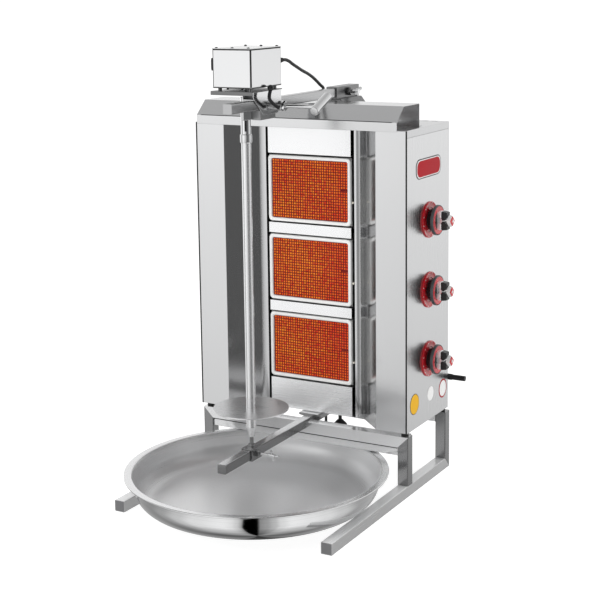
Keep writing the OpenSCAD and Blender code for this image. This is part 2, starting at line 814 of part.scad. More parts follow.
// Shallow round pan: flat floor, round shoulder, nearly upright wall and a flat rim
module drip_pan() placed() color("silver") {
    inner = shoulder(pan_bend - pan_t);
    translate([0, pan_y, 0]) rotate_extrude($fn = 96)
        polygon(concat([[0, pan_floor]], shoulder(pan_bend),
            [[pan_wall, pan_top - pan_t], [pan_d / 2, pan_top - pan_t], [pan_d / 2, pan_top],
            [pan_wall - pan_t, pan_top]],
            [for (i = [len(inner) - 1:-1:0]) inner[i]], [[0, pan_floor + pan_t]]));
}

// ------------------------------------------------------------- power cord

module cord_gland() placed() color("#202020")
    difference() {
        union() {
            rod_y(gland_at[0], [gland_at[1] - 5, gland_at[1]], gland_at[2], 5);
            rod_y(gland_at[0], [gland_at[1], gland_at[1] + 5], gland_at[2], 8);
            rod_y(gland_at[0], [gland_at[1] + 5, gland_at[1] + relief], gland_at[2], 6.5, 4.5);
        }
        rod_y(gland_at[0], [gland_at[1] - 6, gland_at[1] + relief - 1], gland_at[2], cord_r);
    }

module power_cord() placed() color("#202020") {
    swept(cord_path, cord_r);
    swept(tail_path, cord_r);
}

// Outer shape of the coiled length
module cord_coil() placed() color("#202020")
    translate([coil_at[0], coil_at[1], 0]) rotate_extrude()
        translate([coil_r - coil_turn, 0]) square([2 * coil_turn, 2 * coil_turn]);

module mains_plug() placed() color("#202020") {
    y = tail_path[3][1];
    difference() {
        rod_x([plug_x[0], plug_x[1]], y, plug_r_out, 5, 14);
        rod_x([plug_x[0] - 1, tail_path[3][0]], y, plug_r_out, cord_r);
    }
    rod_x([plug_x[1], plug_x[2]], y, plug_r_out, plug_r_out);
    for (s = [-1, 1]) rod_x([plug_x[2], plug_x[2] + 19], y + s * 9.5, plug_r_out, 2.4);
}

rails();
legs();
front_crossbar();
lower_crossbar();
rear_crossbar();
cabinet_spacers();
cabinet_bolts();
centre_foot();
side_panel_left();
side_panel_right();
wing_left();
wing_right();
back_panel();
bottom_plate();
top_plate();
hood();
burner_channel();
column_panels();
burner_frames();
ceramic_tiles();
burner_boxes();
flame_probes();
gas_manifold();
valve_bodies();
burner_pipes();
gas_inlet();
knob_bezels();
valve_plug_lower();
valve_plug_middle();
valve_plug_upper();
knob_lower();
knob_middle();
knob_upper();
blank_badge();
yellow_sticker();
white_stickers();
upper_arm();
arm_sleeve();
arm_pedestal();
sleeve_screw();
carriage_bracket();
carriage_block();
carriage_screw();
release_lever();
motor_tray();
motor_base();
motor_cover();
gearmotor();
drive_shaft();
coupler();
spit();
meat_disc();
lower_arm();
lower_clamp();
clamp_screw();
drip_pan();
cord_gland();
power_cord();
cord_coil();
mains_plug();
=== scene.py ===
"""Looks of the upright gas rotisserie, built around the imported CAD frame."""

import json
import math

import bmesh
import bpy
from mathutils import Matrix, Vector


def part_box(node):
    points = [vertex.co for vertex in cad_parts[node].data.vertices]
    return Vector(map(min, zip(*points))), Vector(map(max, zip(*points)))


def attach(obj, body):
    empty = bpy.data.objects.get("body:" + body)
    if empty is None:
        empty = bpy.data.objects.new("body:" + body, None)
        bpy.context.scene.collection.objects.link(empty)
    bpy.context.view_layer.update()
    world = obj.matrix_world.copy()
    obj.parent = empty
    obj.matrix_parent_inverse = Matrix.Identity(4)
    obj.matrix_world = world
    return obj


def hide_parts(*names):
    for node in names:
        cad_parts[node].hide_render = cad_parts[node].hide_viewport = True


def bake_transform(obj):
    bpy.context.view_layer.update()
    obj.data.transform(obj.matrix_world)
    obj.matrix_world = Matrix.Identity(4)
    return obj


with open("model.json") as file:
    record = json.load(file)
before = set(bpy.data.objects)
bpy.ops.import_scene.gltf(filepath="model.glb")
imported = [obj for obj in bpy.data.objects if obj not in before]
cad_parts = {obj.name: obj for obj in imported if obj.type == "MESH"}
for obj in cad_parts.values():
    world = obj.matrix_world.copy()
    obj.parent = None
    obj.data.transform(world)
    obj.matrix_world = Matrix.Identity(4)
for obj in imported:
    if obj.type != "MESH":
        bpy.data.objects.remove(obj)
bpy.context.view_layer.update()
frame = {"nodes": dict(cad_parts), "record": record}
NODES = frame["nodes"]
BODY = {n: b for b, names in frame["record"]["behaviour"]["bodies"].items() for n in names}

# Drawing axes in millimetres: X = 0 on the spit, Y = 0 on the wings' front face
X_SPIT = sum(c[0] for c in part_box("spit")) / 2
Y_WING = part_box("wing_right")[0][1]
MM = 0.001


def at(x, y, z):
    """A point of the drawing, in millimetres, as a point of the frame, in metres."""
    return Vector((X_SPIT + x * MM, Y_WING + y * MM, z * MM))


# ------------------------------------------------------------------ camera
CAM_PITCH, CAM_YAW, CAM_ROLL = math.radians(9.4), math.radians(29.1), math.radians(-0.7)
forward = Vector((-math.sin(CAM_YAW) * math.cos(CAM_PITCH),
                  math.cos(CAM_YAW) * math.cos(CAM_PITCH), -math.sin(CAM_PITCH)))
level = Vector((math.cos(CAM_YAW), math.sin(CAM_YAW), 0))
upward = level.cross(forward)
right = math.cos(CAM_ROLL) * level + math.sin(CAM_ROLL) * upward
upward = -math.sin(CAM_ROLL) * level + math.cos(CAM_ROLL) * upward
cam_data = bpy.data.cameras.new("camera")
cam_data.lens = 84.23
cam_data.sensor_width = 36
cam_data.shift_y = -0.1423
cam_data.clip_end = 60
camera = bpy.data.objects.new("camera", cam_data)
turned = Matrix((right, upward, -forward)).transposed().to_4x4()
camera.matrix_world = Matrix.Translation(at(1469.2, -2631.2, 1101.6)) @ turned
bpy.context.collection.objects.link(camera)
bpy.context.scene.camera = camera


# --------------------------------------------------------------- materials
class Shader:
    """A node material under construction."""

    def __init__(self, name, color, metallic=0.0, rough=0.4, **sockets):
        self.mat = bpy.data.materials.new(name)
        self.mat.use_nodes = True
        self.tree = self.mat.node_tree
        self.bsdf = self.tree.nodes["Principled BSDF"]
        self.put("Base Color", (*color, 1))
        self.put("Metallic", metallic)
        self.put("Roughness", rough)
        for key, value in sockets.items():
            self.put(key.replace("_", " "), value)

    def put(self, key, value):
        self.bsdf.inputs[key].default_value = value

    def node(self, kind, **props):
        made = self.tree.nodes.new(kind)
        for key, value in props.items():
            setattr(made, key, value)
        return made

    def link(self, a, b):
        self.tree.links.new(a, b)

    def noise(self, scale, stretch=(1, 1, 1), detail=3.0, source=None):
        coord = self.node("ShaderNodeTexCoord")
        mapping = self.node("ShaderNodeMapping")
        mapping.inputs["Scale"].default_value = stretch
        self.link(source or coord.outputs["Object"], mapping.inputs["Vector"])
        noise = self.node("ShaderNodeTexNoise")
        noise.inputs["Scale"].default_value = scale
        noise.inputs["Detail"].default_value = detail
        self.link(mapping.outputs["Vector"], noise.inputs["Vector"])
        return noise.outputs["Fac"]

    def spread(self, fac, low, high, start=0.3, end=0.7):
        made = self.node("ShaderNodeMapRange")
        for key, value in (("From Min", start), ("From Max", end), ("To Min", low),
                           ("To Max", high)):
            made.inputs[key].default_value = value
        self.link(fac, made.inputs["Value"])
        return made.outputs["Result"]

    def math(self, op, a, b):
        made = self.node("ShaderNodeMath", operation=op)
        for i, v in enumerate((a, b)):
            if isinstance(v, (int, float)):
                made.inputs[i].default_value = v
            else:
                self.link(v, made.inputs[i])
        return made.outputs[0]

    def tint(self, fac, dark, light):
        mix = self.node("ShaderNodeMix", data_type="RGBA")
        mix.inputs["A"].default_value = (*dark, 1)
        mix.inputs["B"].default_value = (*light, 1)
        self.link(fac, mix.inputs["Factor"])
        self.link(mix.outputs["Result"], self.bsdf.inputs["Base Color"])
        return mix.outputs["Result"]

    def bump(self, height, strength=0.2, distance=0.0002):
        bump = self.node("ShaderNodeBump")
        bump.inputs["Strength"].default_value = strength
        bump.inputs["Distance"].default_value = distance
        self.link(height, bump.inputs["Height"])
        self.link(bump.outputs["Normal"], self.bsdf.inputs["Normal"])


ALONG = {"x": (1, 90, 90), "y": (90, 1, 90), "z": (90, 90, 1)}


def steel(name, tone, rough, grain="z", depth=0.12, smudge=0.06, streak=0.10, metallic=1.0,
          upright=1.0, contrast=0.6):
    """Brushed stainless steel with its grain along one axis; upright below 1 paints shade on steep
    faces, as a darker base colour.
    """
    color = (tone, tone * 1.004, tone * 1.012)
    s = Shader(name, color, metallic=metallic, rough=rough)
    lines = s.noise(14, ALONG[grain], detail=4)
    broad = s.noise(3.2, detail=2)
    r = s.math("ADD", s.spread(lines, rough - streak / 2, rough + streak / 2),
               s.spread(broad, -smudge / 2, smudge / 2))
    s.link(r, s.bsdf.inputs["Roughness"])
    tinted = s.tint(s.spread(lines, 0.0, 1.0), [c * (1 - 0.07 * contrast) for c in color],
                    [min(1, c * (1 + 0.04 * contrast)) for c in color])
    # Painted shade: faces that point less steeply up get a darker base colour, down to upright
    # times the tone on vertical and downward faces.
    if upright != 1.0:
        parts = s.node("ShaderNodeSeparateXYZ")
        s.link(s.node("ShaderNodeNewGeometry").outputs["Normal"], parts.inputs[0])
        painted_side_shade = s.node("ShaderNodeVectorMath", operation="SCALE")
        s.link(tinted, painted_side_shade.inputs[0])
        s.link(s.spread(parts.outputs["Z"], upright, 1.0, 0.4, 0.9), painted_side_shade.inputs["Scale"])
        s.link(painted_side_shade.outputs[0], s.bsdf.inputs["Base Color"])
    s.bump(lines, strength=depth, distance=0.0001)
    return s.mat


def plain(name, color, rough=0.4, metallic=0.0, grain=400, depth=0.15, vary=0.12, **sockets):
    """A moulded, cast or painted surface with fine grain and slight colour variation."""
    s = Shader(name, color, metallic=metallic, rough=rough, **sockets)
    small = s.noise(grain, detail=3)
    broad = s.noise(9, detail=2)
    s.tint(s.spread(broad, 0.0, 1.0), [c * (1 - vary) for c in color],
           [min(1, c * (1 + vary)) for c in color])
    s.link(s.spread(s.math("ADD", s.math("MULTIPLY", small, 0.5), s.math("MULTIPLY", broad, 0.5)),
                    rough * 0.85, min(1, rough * 1.2)), s.bsdf.inputs["Roughness"])
    s.bump(small, strength=depth, distance=0.0002)
    return s.mat


M = {
    # upright below 1 gives these steels painted shade on their steep faces.
    "stand_x": steel("stand_steel_x", 0.96, 0.20, "x", metallic=0.8, upright=0.84),
    "stand_y": steel("stand_steel_y", 0.98, 0.22, "y", metallic=0.2, upright=0.46),
    # Painted shade: the legs get a far darker tone than the other stand tubes of the same steel.
    "stand_z_shaded": steel("stand_steel_z_painted_shade", 0.28, 0.20, "z"),
    "panel_x": steel("panel_steel_x", 0.84, 0.26, "x"),
    "panel_top": steel("top_plate_steel", 0.68, 0.26, "x"),
    "panel_low": steel("column_steel", 0.98, 0.26, "x", depth=0.04, streak=0.04, metallic=0.9,
                       contrast=0.25),
    "panel_z": steel("panel_steel_z", 0.75, 0.26, "z", depth=0.05, smudge=0.03, streak=0.04,
                     contrast=0.25),
    "wing": steel("wing_steel", 0.70, 0.15, "z", depth=0.02, smudge=0.02, streak=0.03,
                  contrast=0.15),
    "hood": steel("hood_steel", 0.70, 0.20, "x", depth=0.06),
    "bright_y": steel("bright_steel_y", 0.78, 0.20, "y", metallic=0.8, upright=0.36),
    "bright_x": steel("bright_steel_x", 0.78, 0.14, "x"),
    "tray": steel("tray_steel", 0.22, 0.30, "x"),
    "arm": steel("arm_steel", 0.50, 0.24, "y"),
    "spit": steel("spit_steel", 0.92, 0.16, "z", metallic=0.82),
    "disc": steel("disc_steel", 0.88, 0.32, "x", metallic=0.85),
    "carriage": steel("carriage_steel", 0.42, 0.34, "x"),
    "sleeve": steel("sleeve_steel", 0.24, 0.30, "x"),
    "burner": steel("burner_steel", 0.40, 0.45, "x"),
    "chrome": steel("chrome_plate", 0.86, 0.06, "z", depth=0.02, smudge=0.02, streak=0.02),
    # Painted highlight: a half-metal near-white steel, so the chrome cheeks read bright like a
    # highlight from every side.
    "cheek": steel("cheek_chrome", 0.96, 0.12, "z", 0.02, 0.02, 0.02, metallic=0.5),
    "bolt": steel("bolt_steel", 0.55, 0.30, "z"),
    "black_paint": plain("black_paint", (0.012, 0.012, 0.012), 0.65, grain=900),
    "black_oxide": plain("black_oxide", (0.03, 0.03, 0.032), 0.42, metallic=0.6),
    "casting": plain("grey_casting", (0.16, 0.17, 0.18), 0.5, metallic=0.3, grain=260, depth=0.4),
    "brass": plain("brass", (0.68, 0.50, 0.22), 0.30, metallic=1.0, grain=500),
    "copper": plain("copper", (0.75, 0.36, 0.22), 0.28, metallic=1.0, grain=300),
    "enamel": plain("white_enamel", (0.95, 0.95, 0.94), 0.22, grain=120, depth=0.05,
                    vary=0.02, Coat_Weight=0.4, Coat_Roughness=0.08),
    "porcelain": plain("porcelain", (0.80, 0.76, 0.66), 0.2, grain=90, depth=0.04),
    "rubber": plain("black_rubber", (0.022, 0.022, 0.022), 0.7, grain=700, depth=0.3),
    "cord": plain("cord_rubber", (0.016, 0.016, 0.017), 0.48, grain=900, depth=0.2),
    "red": plain("red_plastic", (0.60, 0.010, 0.020), 0.25, grain=500, depth=0.04,
                 Coat_Weight=0.5, Coat_Roughness=0.06),
    "black": plain("black_plastic", (0.012, 0.012, 0.013), 0.26, grain=500, depth=0.05),
    "band": plain("band_plastic", (0.10, 0.105, 0.11), 0.24, metallic=0.4, grain=500, depth=0.05),
    "white": plain("white_plastic", (0.80, 0.80, 0.80), 0.3, grain=500, depth=0.05),
    "badge": plain("badge_red", (0.42, 0.010, 0.018), 0.5, grain=400, depth=0.04, vary=0.06,
                   Specular_IOR_Level=0.15),
    "yellow": plain("sticker_yellow", (0.92, 0.50, 0.006), 0.45, grain=300, depth=0.03, vary=0.04,
                    Specular_IOR_Level=0.15),
    "sticker": plain("sticker_white", (0.93, 0.93, 0.92), 0.45, grain=300, depth=0.03, vary=0.02),
    "end_cap": plain("end_cap_steel", (0.16, 0.16, 0.165), 0.5, grain=600, depth=0.2),
    "grey": plain("grey_plastic", (0.05, 0.05, 0.055), 0.4, Specular_IOR_Level=0.2),
}


# ------------------------------------------------------------ mesh helpers
SMOOTH_BELOW = math.radians(35)


def finish_mesh(name, mesh, mats, body):
    """Puts a mesh in the scene as a piece that rides on a body, or on none yet."""
    for mat in mats if isinstance(mats, (list, tuple)) else [mats]:
        mesh.materials.append(mat)
    mesh.validate()
    mesh.polygons.foreach_set("use_smooth", [True] * len(mesh.polygons))
    mesh.set_sharp_from_angle(angle=SMOOTH_BELOW)
    obj = bpy.data.objects.new(name, mesh)
    bpy.context.collection.objects.link(obj)
    if body:
        firm = obj.modifiers.new("flat_faces_stay_flat", "WEIGHTED_NORMAL")
        firm.weight = 100
        firm.keep_sharp = True
        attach(obj, body)
    return obj


def piece(name, bm, mats, body):
    """Turns a bmesh in millimetres of the drawing into a piece."""
    for v in bm.verts:
        v.co = at(*v.co)
    bmesh.ops.recalc_face_normals(bm, faces=bm.faces)
    mesh = bpy.data.meshes.new(name)
    bm.to_mesh(mesh)
    bm.free()
    return finish_mesh(name, mesh, mats, body)


def standing_for(obj, *nodes):
    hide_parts(*nodes)
    return obj


def extra(name, bm, mats, body):
    """A piece that stands for no CAD node."""
    obj = piece(name, bm, mats, body)
    return obj


def bevel(bm, width, segments=2, over=30, edges=None):
    """Rounds the convex edges that are sharper than an angle."""
    sharp = [e for e in (edges or bm.edges) if len(e.link_faces) == 2 and e.is_convex
             and e.calc_face_angle() > math.radians(over)]
    if sharp:
        bmesh.ops.bevel(bm, geom=sharp, offset=width, segments=segments, profile=0.5,
                        affect="EDGES", clamp_overlap=True)


def block(bm, x, y, z, round_by=0.0, segments=2):
    """Adds a box between bounds, with rounded edges."""
    part = bmesh.new()
    bmesh.ops.create_cube(part, size=1)
    for v in part.verts:
        v.co = Vector(((x[0] + x[1]) / 2 + v.co.x * (x[1] - x[0]),
                       (y[0] + y[1]) / 2 + v.co.y * (y[1] - y[0]),
                       (z[0] + z[1]) / 2 + v.co.z * (z[1] - z[0])))
    if round_by:
        bevel(part, round_by, segments)
    return merge(bm, part)


def merge(bm, part, mat=0, move=None):
    """Adds the faces of one bmesh to another, with a material index."""
    if move is not None:
        part.transform(move)
    kept = {}
    for v in part.verts:
        kept[v] = bm.verts.new(v.co)
    for f in part.faces:
        try:
            new = bm.faces.new([kept[v] for v in f.verts])
        except ValueError:
            continue
        new.material_index = mat if mat is not None else f.material_index
    part.free()
    return bm


def turn_to(axis):
    """Matrix that turns +Z to an axis."""
    return Vector((0, 0, 1)).rotation_difference(Vector(axis)).to_matrix().to_4x4()


def lathe(bm, profile, centre=(0, 0, 0), axis=(0, 0, 1), steps=48, mats=None, wave=None):
    """Adds a solid of revolution. profile is (radius, height) pairs; mats gives each ring's
    material index; wave(angle, radius, height) may change a radius."""
    move = Matrix.Translation(Vector(centre)) @ turn_to(axis)
    rings = []
    for r, h in profile:
        if r < 1e-6:
            rings.append([bm.verts.new(move @ Vector((0, 0, h)))])
            continue
        ring = []
        for k in range(steps):
            a = 2 * math.pi * k / steps
            rr = wave(a, r, h) if wave else r
            ring.append(bm.verts.new(move @ Vector((rr * math.cos(a), rr * math.sin(a), h))))
        rings.append(ring)
    for i in range(len(rings) - 1):
        a, b = rings[i], rings[i + 1]
        for k in range(steps):
            n = (k + 1) % steps
            if len(a) == 1 and len(b) == 1:
                continue
            if len(a) == 1:
                face = bm.faces.new((a[0], b[k], b[n]))
            elif len(b) == 1:
                face = bm.faces.new((a[k], a[n], b[0]))
            else:
                face = bm.faces.new((a[k], a[n], b[n], b[k]))
            face.material_index = mats[i] if mats else 0
    return bm


def smooth_path(points, per=6):
    """Centripetal Catmull-Rom line through points."""
    pts = [Vector(p) for p in points]
    pts = [2 * pts[0] - pts[1]] + pts + [2 * pts[-1] - pts[-2]]
    line = []
    for i in range(1, len(pts) - 2):
        p = pts[i - 1:i + 3]
        t = [0.0]
        for a, b in zip(p, p[1:]):
            t.append(t[-1] + max((b - a).length, 1e-6) ** 0.5)
        for k in range(per):
            u = t[1] + (t[2] - t[1]) * k / per
            level1 = [p[j] * ((t[j + 1] - u) / (t[j + 1] - t[j]))
                      + p[j + 1] * ((u - t[j]) / (t[j + 1] - t[j])) for j in range(3)]
            level2 = [level1[j] * ((t[j + 2] - u) / (t[j + 2] - t[j]))
                      + level1[j + 1] * ((u - t[j]) / (t[j + 2] - t[j])) for j in range(2)]
            line.append(level2[0] * ((t[2] - u) / (t[2] - t[1]))
                        + level2[1] * ((u - t[1]) / (t[2] - t[1])))
    line.append(pts[-2].copy())
    return line


def sweep(bm, line, radius, sides=10, caps=True):
    """Adds a round tube along a line. radius is a number or a function of the share of length."""
    total = sum((b - a).length for a, b in zip(line, line[1:]))
    ahead = (line[1] - line[0]).normalized()
    side = ahead.orthogonal().normalized()
    rings, gone = [], 0.0
    for i, p in enumerate(line):
        if i:
            gone += (p - line[i - 1]).length
        new = (line[min(i + 1, len(line) - 1)] - line[max(i - 1, 0)]).normalized()
        side = ahead.rotation_difference(new) @ side
        side = (side - new * side.dot(new)).normalized()
        ahead = new
        up = ahead.cross(side)
        r = radius(gone / total) if callable(radius) else radius
        rings.append([bm.verts.new(p + r * (math.cos(2 * math.pi * k / sides) * side
                                            + math.sin(2 * math.pi * k / sides) * up))
                      for k in range(sides)])
    for a, b in zip(rings, rings[1:]):
        for k in range(sides):
            bm.faces.new((a[k], a[(k + 1) % sides], b[(k + 1) % sides], b[k]))
    if caps:
        bm.faces.new(rings[0][::-1])
        bm.faces.new(rings[-1])
    return bm


def rod(bm, a, b, r, edge=0.4):
    """Adds a round bar from a to b, with small chamfers."""
    a, b = Vector(a), Vector(b)
    length = (b - a).length
    edge = min(edge, r * 0.4, length * 0.3)
    return lathe(bm, [(0, 0), (r - edge, 0), (r, edge), (r, length - edge), (r - edge, length),
                      (0, length)], a, b - a, 24)


def rounded_outline(w, h, r, steps=6):
    """Points of a rounded rectangle about the origin."""
    out = []
    for cx, cy, start in ((w / 2 - r, h / 2 - r, 0), (r - w / 2, h / 2 - r, 90),
                          (r - w / 2, r - h / 2, 180), (w / 2 - r, r - h / 2, 270)):
        for k in range(steps + 1):
            a = math.radians(start + 90 * k / steps)
            out.append((cx + r * math.cos(a), cy + r * math.sin(a)))
    return out


def plate(bm, outline, place, thick, mat=0, edge=0.0):
    """Adds a flat plate. place(u, v, w) gives a point; w runs from 0 to thick. The far face
    has a chamfer of width edge."""
    n = len(outline)
    levels = [(0, 0.0), (thick - edge, 0.0)] + ([(thick, edge)] if edge else [])
    cu = sum(p[0] for p in outline) / n
    cv = sum(p[1] for p in outline) / n
    rings = []
    for w, inset in levels:
        ring = []
        for u, v in outline:
            d = math.hypot(u - cu, v - cv) or 1
            ring.append(bm.verts.new(place(u - inset * (u - cu) / d, v - inset * (v - cv) / d, w)))
        rings.append(ring)
    for a, b in zip(rings, rings[1:]):
        for k in range(n):
            bm.faces.new((a[k], a[(k + 1) % n], b[(k + 1) % n], b[k])).material_index = mat
    bm.faces.new(rings[0][::-1]).material_index = mat
    bm.faces.new(rings[-1]).material_index = mat
    return bm


def softened(node, mat, width, along=None, segments=3, rest=0.0):
    """A copy of a CAD node's shape with rounded edges, standing for the node. along keeps the
    rounding to edges parallel to one axis; rest rounds the other edges a little."""
    bm = bmesh.new()
    bm.from_mesh(NODES[node].data)
    bmesh.ops.remove_doubles(bm, verts=bm.verts, dist=2e-6)
    drop_inner_shells(bm)
    bmesh.ops.dissolve_limit(bm, angle_limit=math.radians(1), verts=bm.verts, edges=bm.edges)
    if along:
        axis = Vector({"x": (1, 0, 0), "y": (0, 1, 0), "z": (0, 0, 1)}[along])
        lines = [e for e in bm.edges
                 if abs((e.verts[0].co - e.verts[1].co).normalized().dot(axis)) > 0.98]
        bevel(bm, width * MM, segments, 50, lines)
        if rest:
            others = [e for e in bm.edges
                      if abs((e.verts[0].co - e.verts[1].co).normalized().dot(axis)) < 0.3
                      and e.calc_length() > 4 * width * MM]
            bevel(bm, rest * MM, 1, 50, others)
    else:
        bevel(bm, width * MM, segments)
    mesh = bpy.data.meshes.new(node + "_skin")
    bm.to_mesh(mesh)
    bm.free()
    return standing_for(finish_mesh(node + "_skin", mesh, mat, BODY[node]), node)


def drop_inner_shells(bm):
    """Deletes closed shells that bound an inner cavity."""
    todo, doomed = set(bm.faces), []
    while todo:
        shell, stack = [], [todo.pop()]
        while stack:
            f = stack.pop()
            shell.append(f)
            for e in f.edges:
                for g in e.link_faces:
                    if g in todo:
                        todo.remove(g)
                        stack.append(g)
        volume = sum(f.calc_area() * f.normal.dot(f.calc_center_median()) for f in shell)
        if volume < 0:
            doomed += shell
    if doomed:
        bmesh.ops.delete(bm, geom=doomed, context="FACES")


def cad(mat, *names):
    """Gives CAD nodes whose shape stays their material."""
    for n in names:
        mesh = NODES[n].data
        mesh.materials.clear()
        mesh.materials.append(mat)


# -------------------------------------------------------------- power cord
CORD_R = 3.5
CORD_START = (35, -121.5, 945)
drop = [CORD_START, (35, -108, 944.6), (34.6, -93, 941), (33, -76, 934.5), (30.5, -52, 926.5),
        (27, -22, 917), (22.5, 10, 908.5), (17, 42, 898.6), (11.5, 70, 888.5), (6, 97, 878),
        (-1, 124, 869), (-14, 143, 858), (-29, 160, 843), (-43, 176, 826), (-54, 190, 811),
        (-61.5, 202, 803.5), (-65.3, 214, 801.2), (-66, 226, 798.8), (-66, 235.5, 792.5),
        (-66, 241.8, 783), (-66, 244, 772), *((-66, 244, z) for z in range(720, 159, -80)),
        (-66, 244, 90), (-66, 244, 33), (-66, 246.2, 22), (-66, 252.5, 12.5), (-66, 262, 6.2),
        (-66.5, 273, 4), (-68, 287, 3.6)]
COIL = (-28, 302)
COIL_OUT, COIL_IN = 41.4, 34.4
COIL_LOW, COIL_HIGH = 3.6, 10.6


def coil_points():
    """Turns of the coil: outside low, inside low, inside high, then outside high to the end."""
    points = []
    for deg in range(180, -1000, -15):
        gone = (180 - deg) / 360
        if gone < 1:
            r, z = COIL_OUT, COIL_LOW
        elif gone < 2:
            r, z = COIL_IN, COIL_LOW
        elif gone < 3:
            r, z = COIL_IN, COIL_HIGH
        else:
            r, z = COIL_OUT, COIL_HIGH
        for start, r1, z1 in ((1, COIL_OUT, COIL_LOW), (2, COIL_IN, COIL_LOW),
                              (3, COIL_IN, COIL_HIGH)):
            share = (gone - start) * 6
            if 0 <= share < 1:
                ease = share * share * (3 - 2 * share)
                r, z = r1 + (r - r1) * ease, z1 + (z - z1) * ease
        a = math.radians(deg)
        points.append((COIL[0] + r * math.cos(a), COIL[1] + r * math.sin(a), z))
    return points


tail = [(-14, 343, 10.8), (4, 341, 13), (22, 340, 17), (38, 340, 18.5)]
cord_line = smooth_path(drop + coil_points() + tail, per=3)
bm = sweep(bmesh.new(), cord_line, CORD_R, sides=12)
power_cord = piece("power_cord_run", bm, M["cord"], None)
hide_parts("power_cord", "cord_coil")

# Moulded plug with grip ribs, two pins and side contacts
PLUG_X, PLUG_Y, PLUG_Z = 38, 340, 18.5
bm = bmesh.new()
lathe(bm, [(3.5, -8), (4.8, -8), (5.0, -7), (6.5, 2), (9.5, 10), (12.5, 17), (13.6, 20),
           (16.2, 21), (18.2, 23), (18.5, 25), (18.5, 50), (17.6, 51.5), (17.6, 54), (0, 54)],
      (PLUG_X, PLUG_Y, PLUG_Z), (1, 0, 0), 40,
      wave=lambda a, r, h: r * (1 + 0.02 * math.cos(8 * a)) if 9 < h < 21 else r)
for i in range(4):
    lathe(bm, [(4.5 + i * 0.5, -5 + 3 * i), (5.9 + i * 0.5, -5 + 3 * i),
               (5.9 + i * 0.5, -3.6 + 3 * i), (4.5 + i * 0.5, -3.6 + 3 * i)],
          (PLUG_X, PLUG_Y, PLUG_Z), (1, 0, 0), 32)
plug = piece("mains_plug_body", bm, M["cord"], "chassis")
standing_for(plug, "mains_plug")
bm = bmesh.new()
for side in (-1, 1):
    pin_y = PLUG_Y + 9.5 * side
    rod(bm, (PLUG_X + 54, pin_y, PLUG_Z), (PLUG_X + 72.5, pin_y, PLUG_Z), 2.4, edge=1.0)
    block(bm, (PLUG_X + 30, PLUG_X + 54.2), (PLUG_Y - 2.5, PLUG_Y + 2.5),
          (PLUG_Z + 17.6 * side - 0.7, PLUG_Z + 17.6 * side + 0.7), 0.3)
pins = piece("mains_plug_pins", bm, M["chrome"], "chassis")
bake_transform(power_cord)

# ------------------------------------------------------------------- stand
softened("rails", M["stand_y"], 2.2, along="y", rest=0.5)
softened("legs", M["stand_z_shaded"], 2.2, along="z")
softened("front_crossbar", M["stand_x"], 1.4, along="x")
softened("lower_crossbar", M["stand_x"], 1.4, along="x")
softened("rear_crossbar", M["stand_x"], 2.2, along="x")
# Painted shadow: a black strip where the front crossbar shades the lower crossbar.
bm = block(bmesh.new(), (-234, 234), (5.6, 9.2), (106.8, 109))
extra("crossbar_painted_shadow", bm, M["black_paint"], "chassis")
# Painted shadow: a dark strip in the crease under the hood's lip; no oxide part is there.
bm = block(bmesh.new(), (-234, 234), (-18.3, -17.2), (813.2, 814.8))
extra("hood_crease_shadow", bm, M["black_oxide"], "chassis")
cad(M["rubber"], "cabinet_spacers", "centre_foot")
cad(M["bolt"], "cabinet_bolts")

# Plugs in the open ends of the rails
for way, name in ((-1, "left"), (1, "right")):
    for y, out in ((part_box("rails")[0][1], -1), (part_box("rails")[1][1], 1)):
        front = (y - Y_WING) / MM
        low, high = sorted((front, front + 0.5 * out))
        x = 247.5 * way
        cap = block(bmesh.new(), (x - 11, x + 11), (low, high), (1.5, 23.5), 0.2)
        extra(f"rail_plug_{name}_{'back' if out > 0 else 'front'}", cap, M["end_cap"], "chassis")

# ----------------------------------------------------------------- cabinet
cad(M["panel_z"], "side_panel_left", "side_panel_right", "back_panel")
softened("wing_left", M["wing"], 0.5, segments=2)
softened("wing_right", M["wing"], 0.5, segments=2)
# Painted shade: a black strip in each front corner, where the wing's front meets the side panel,
# stands for the dark gap between them.
for way, name in ((-1, "left"), (1, "right")):
    low, high = sorted((256.6 * way, 260 * way))
    extra(f"corner_gap_shade_{name}", block(bmesh.new(), (low, high), (-0.2, 0.5), (144, 795)),
          M["black_paint"], "chassis")
cad(M["panel_x"], "bottom_plate")
cad(M["panel_low"], "column_panels")
softened("top_plate", M["panel_top"], 0.5, segments=2)
softened("hood", M["hood"], 0.5, segments=2)
# Painted shade: the channel behind the burners is black, so the gaps round the burners read dark.
cad(M["black_paint"], "burner_channel")

# ----------------------------------------------------------------- burners
cad(M["burner"], "burner_boxes")
cad(M["porcelain"], "flame_probes")
cad(M["brass"], "gas_manifold", "valve_bodies", "valve_plug_lower", "valve_plug_middle",
    "valve_plug_upper")
cad(M["copper"], "burner_pipes")
cad(M["black_oxide"], "gas_inlet")

BURNER_Z = (292, 471, 650)
FRAME_W, FRAME_H, FRAME_Y = 206, 149, 49


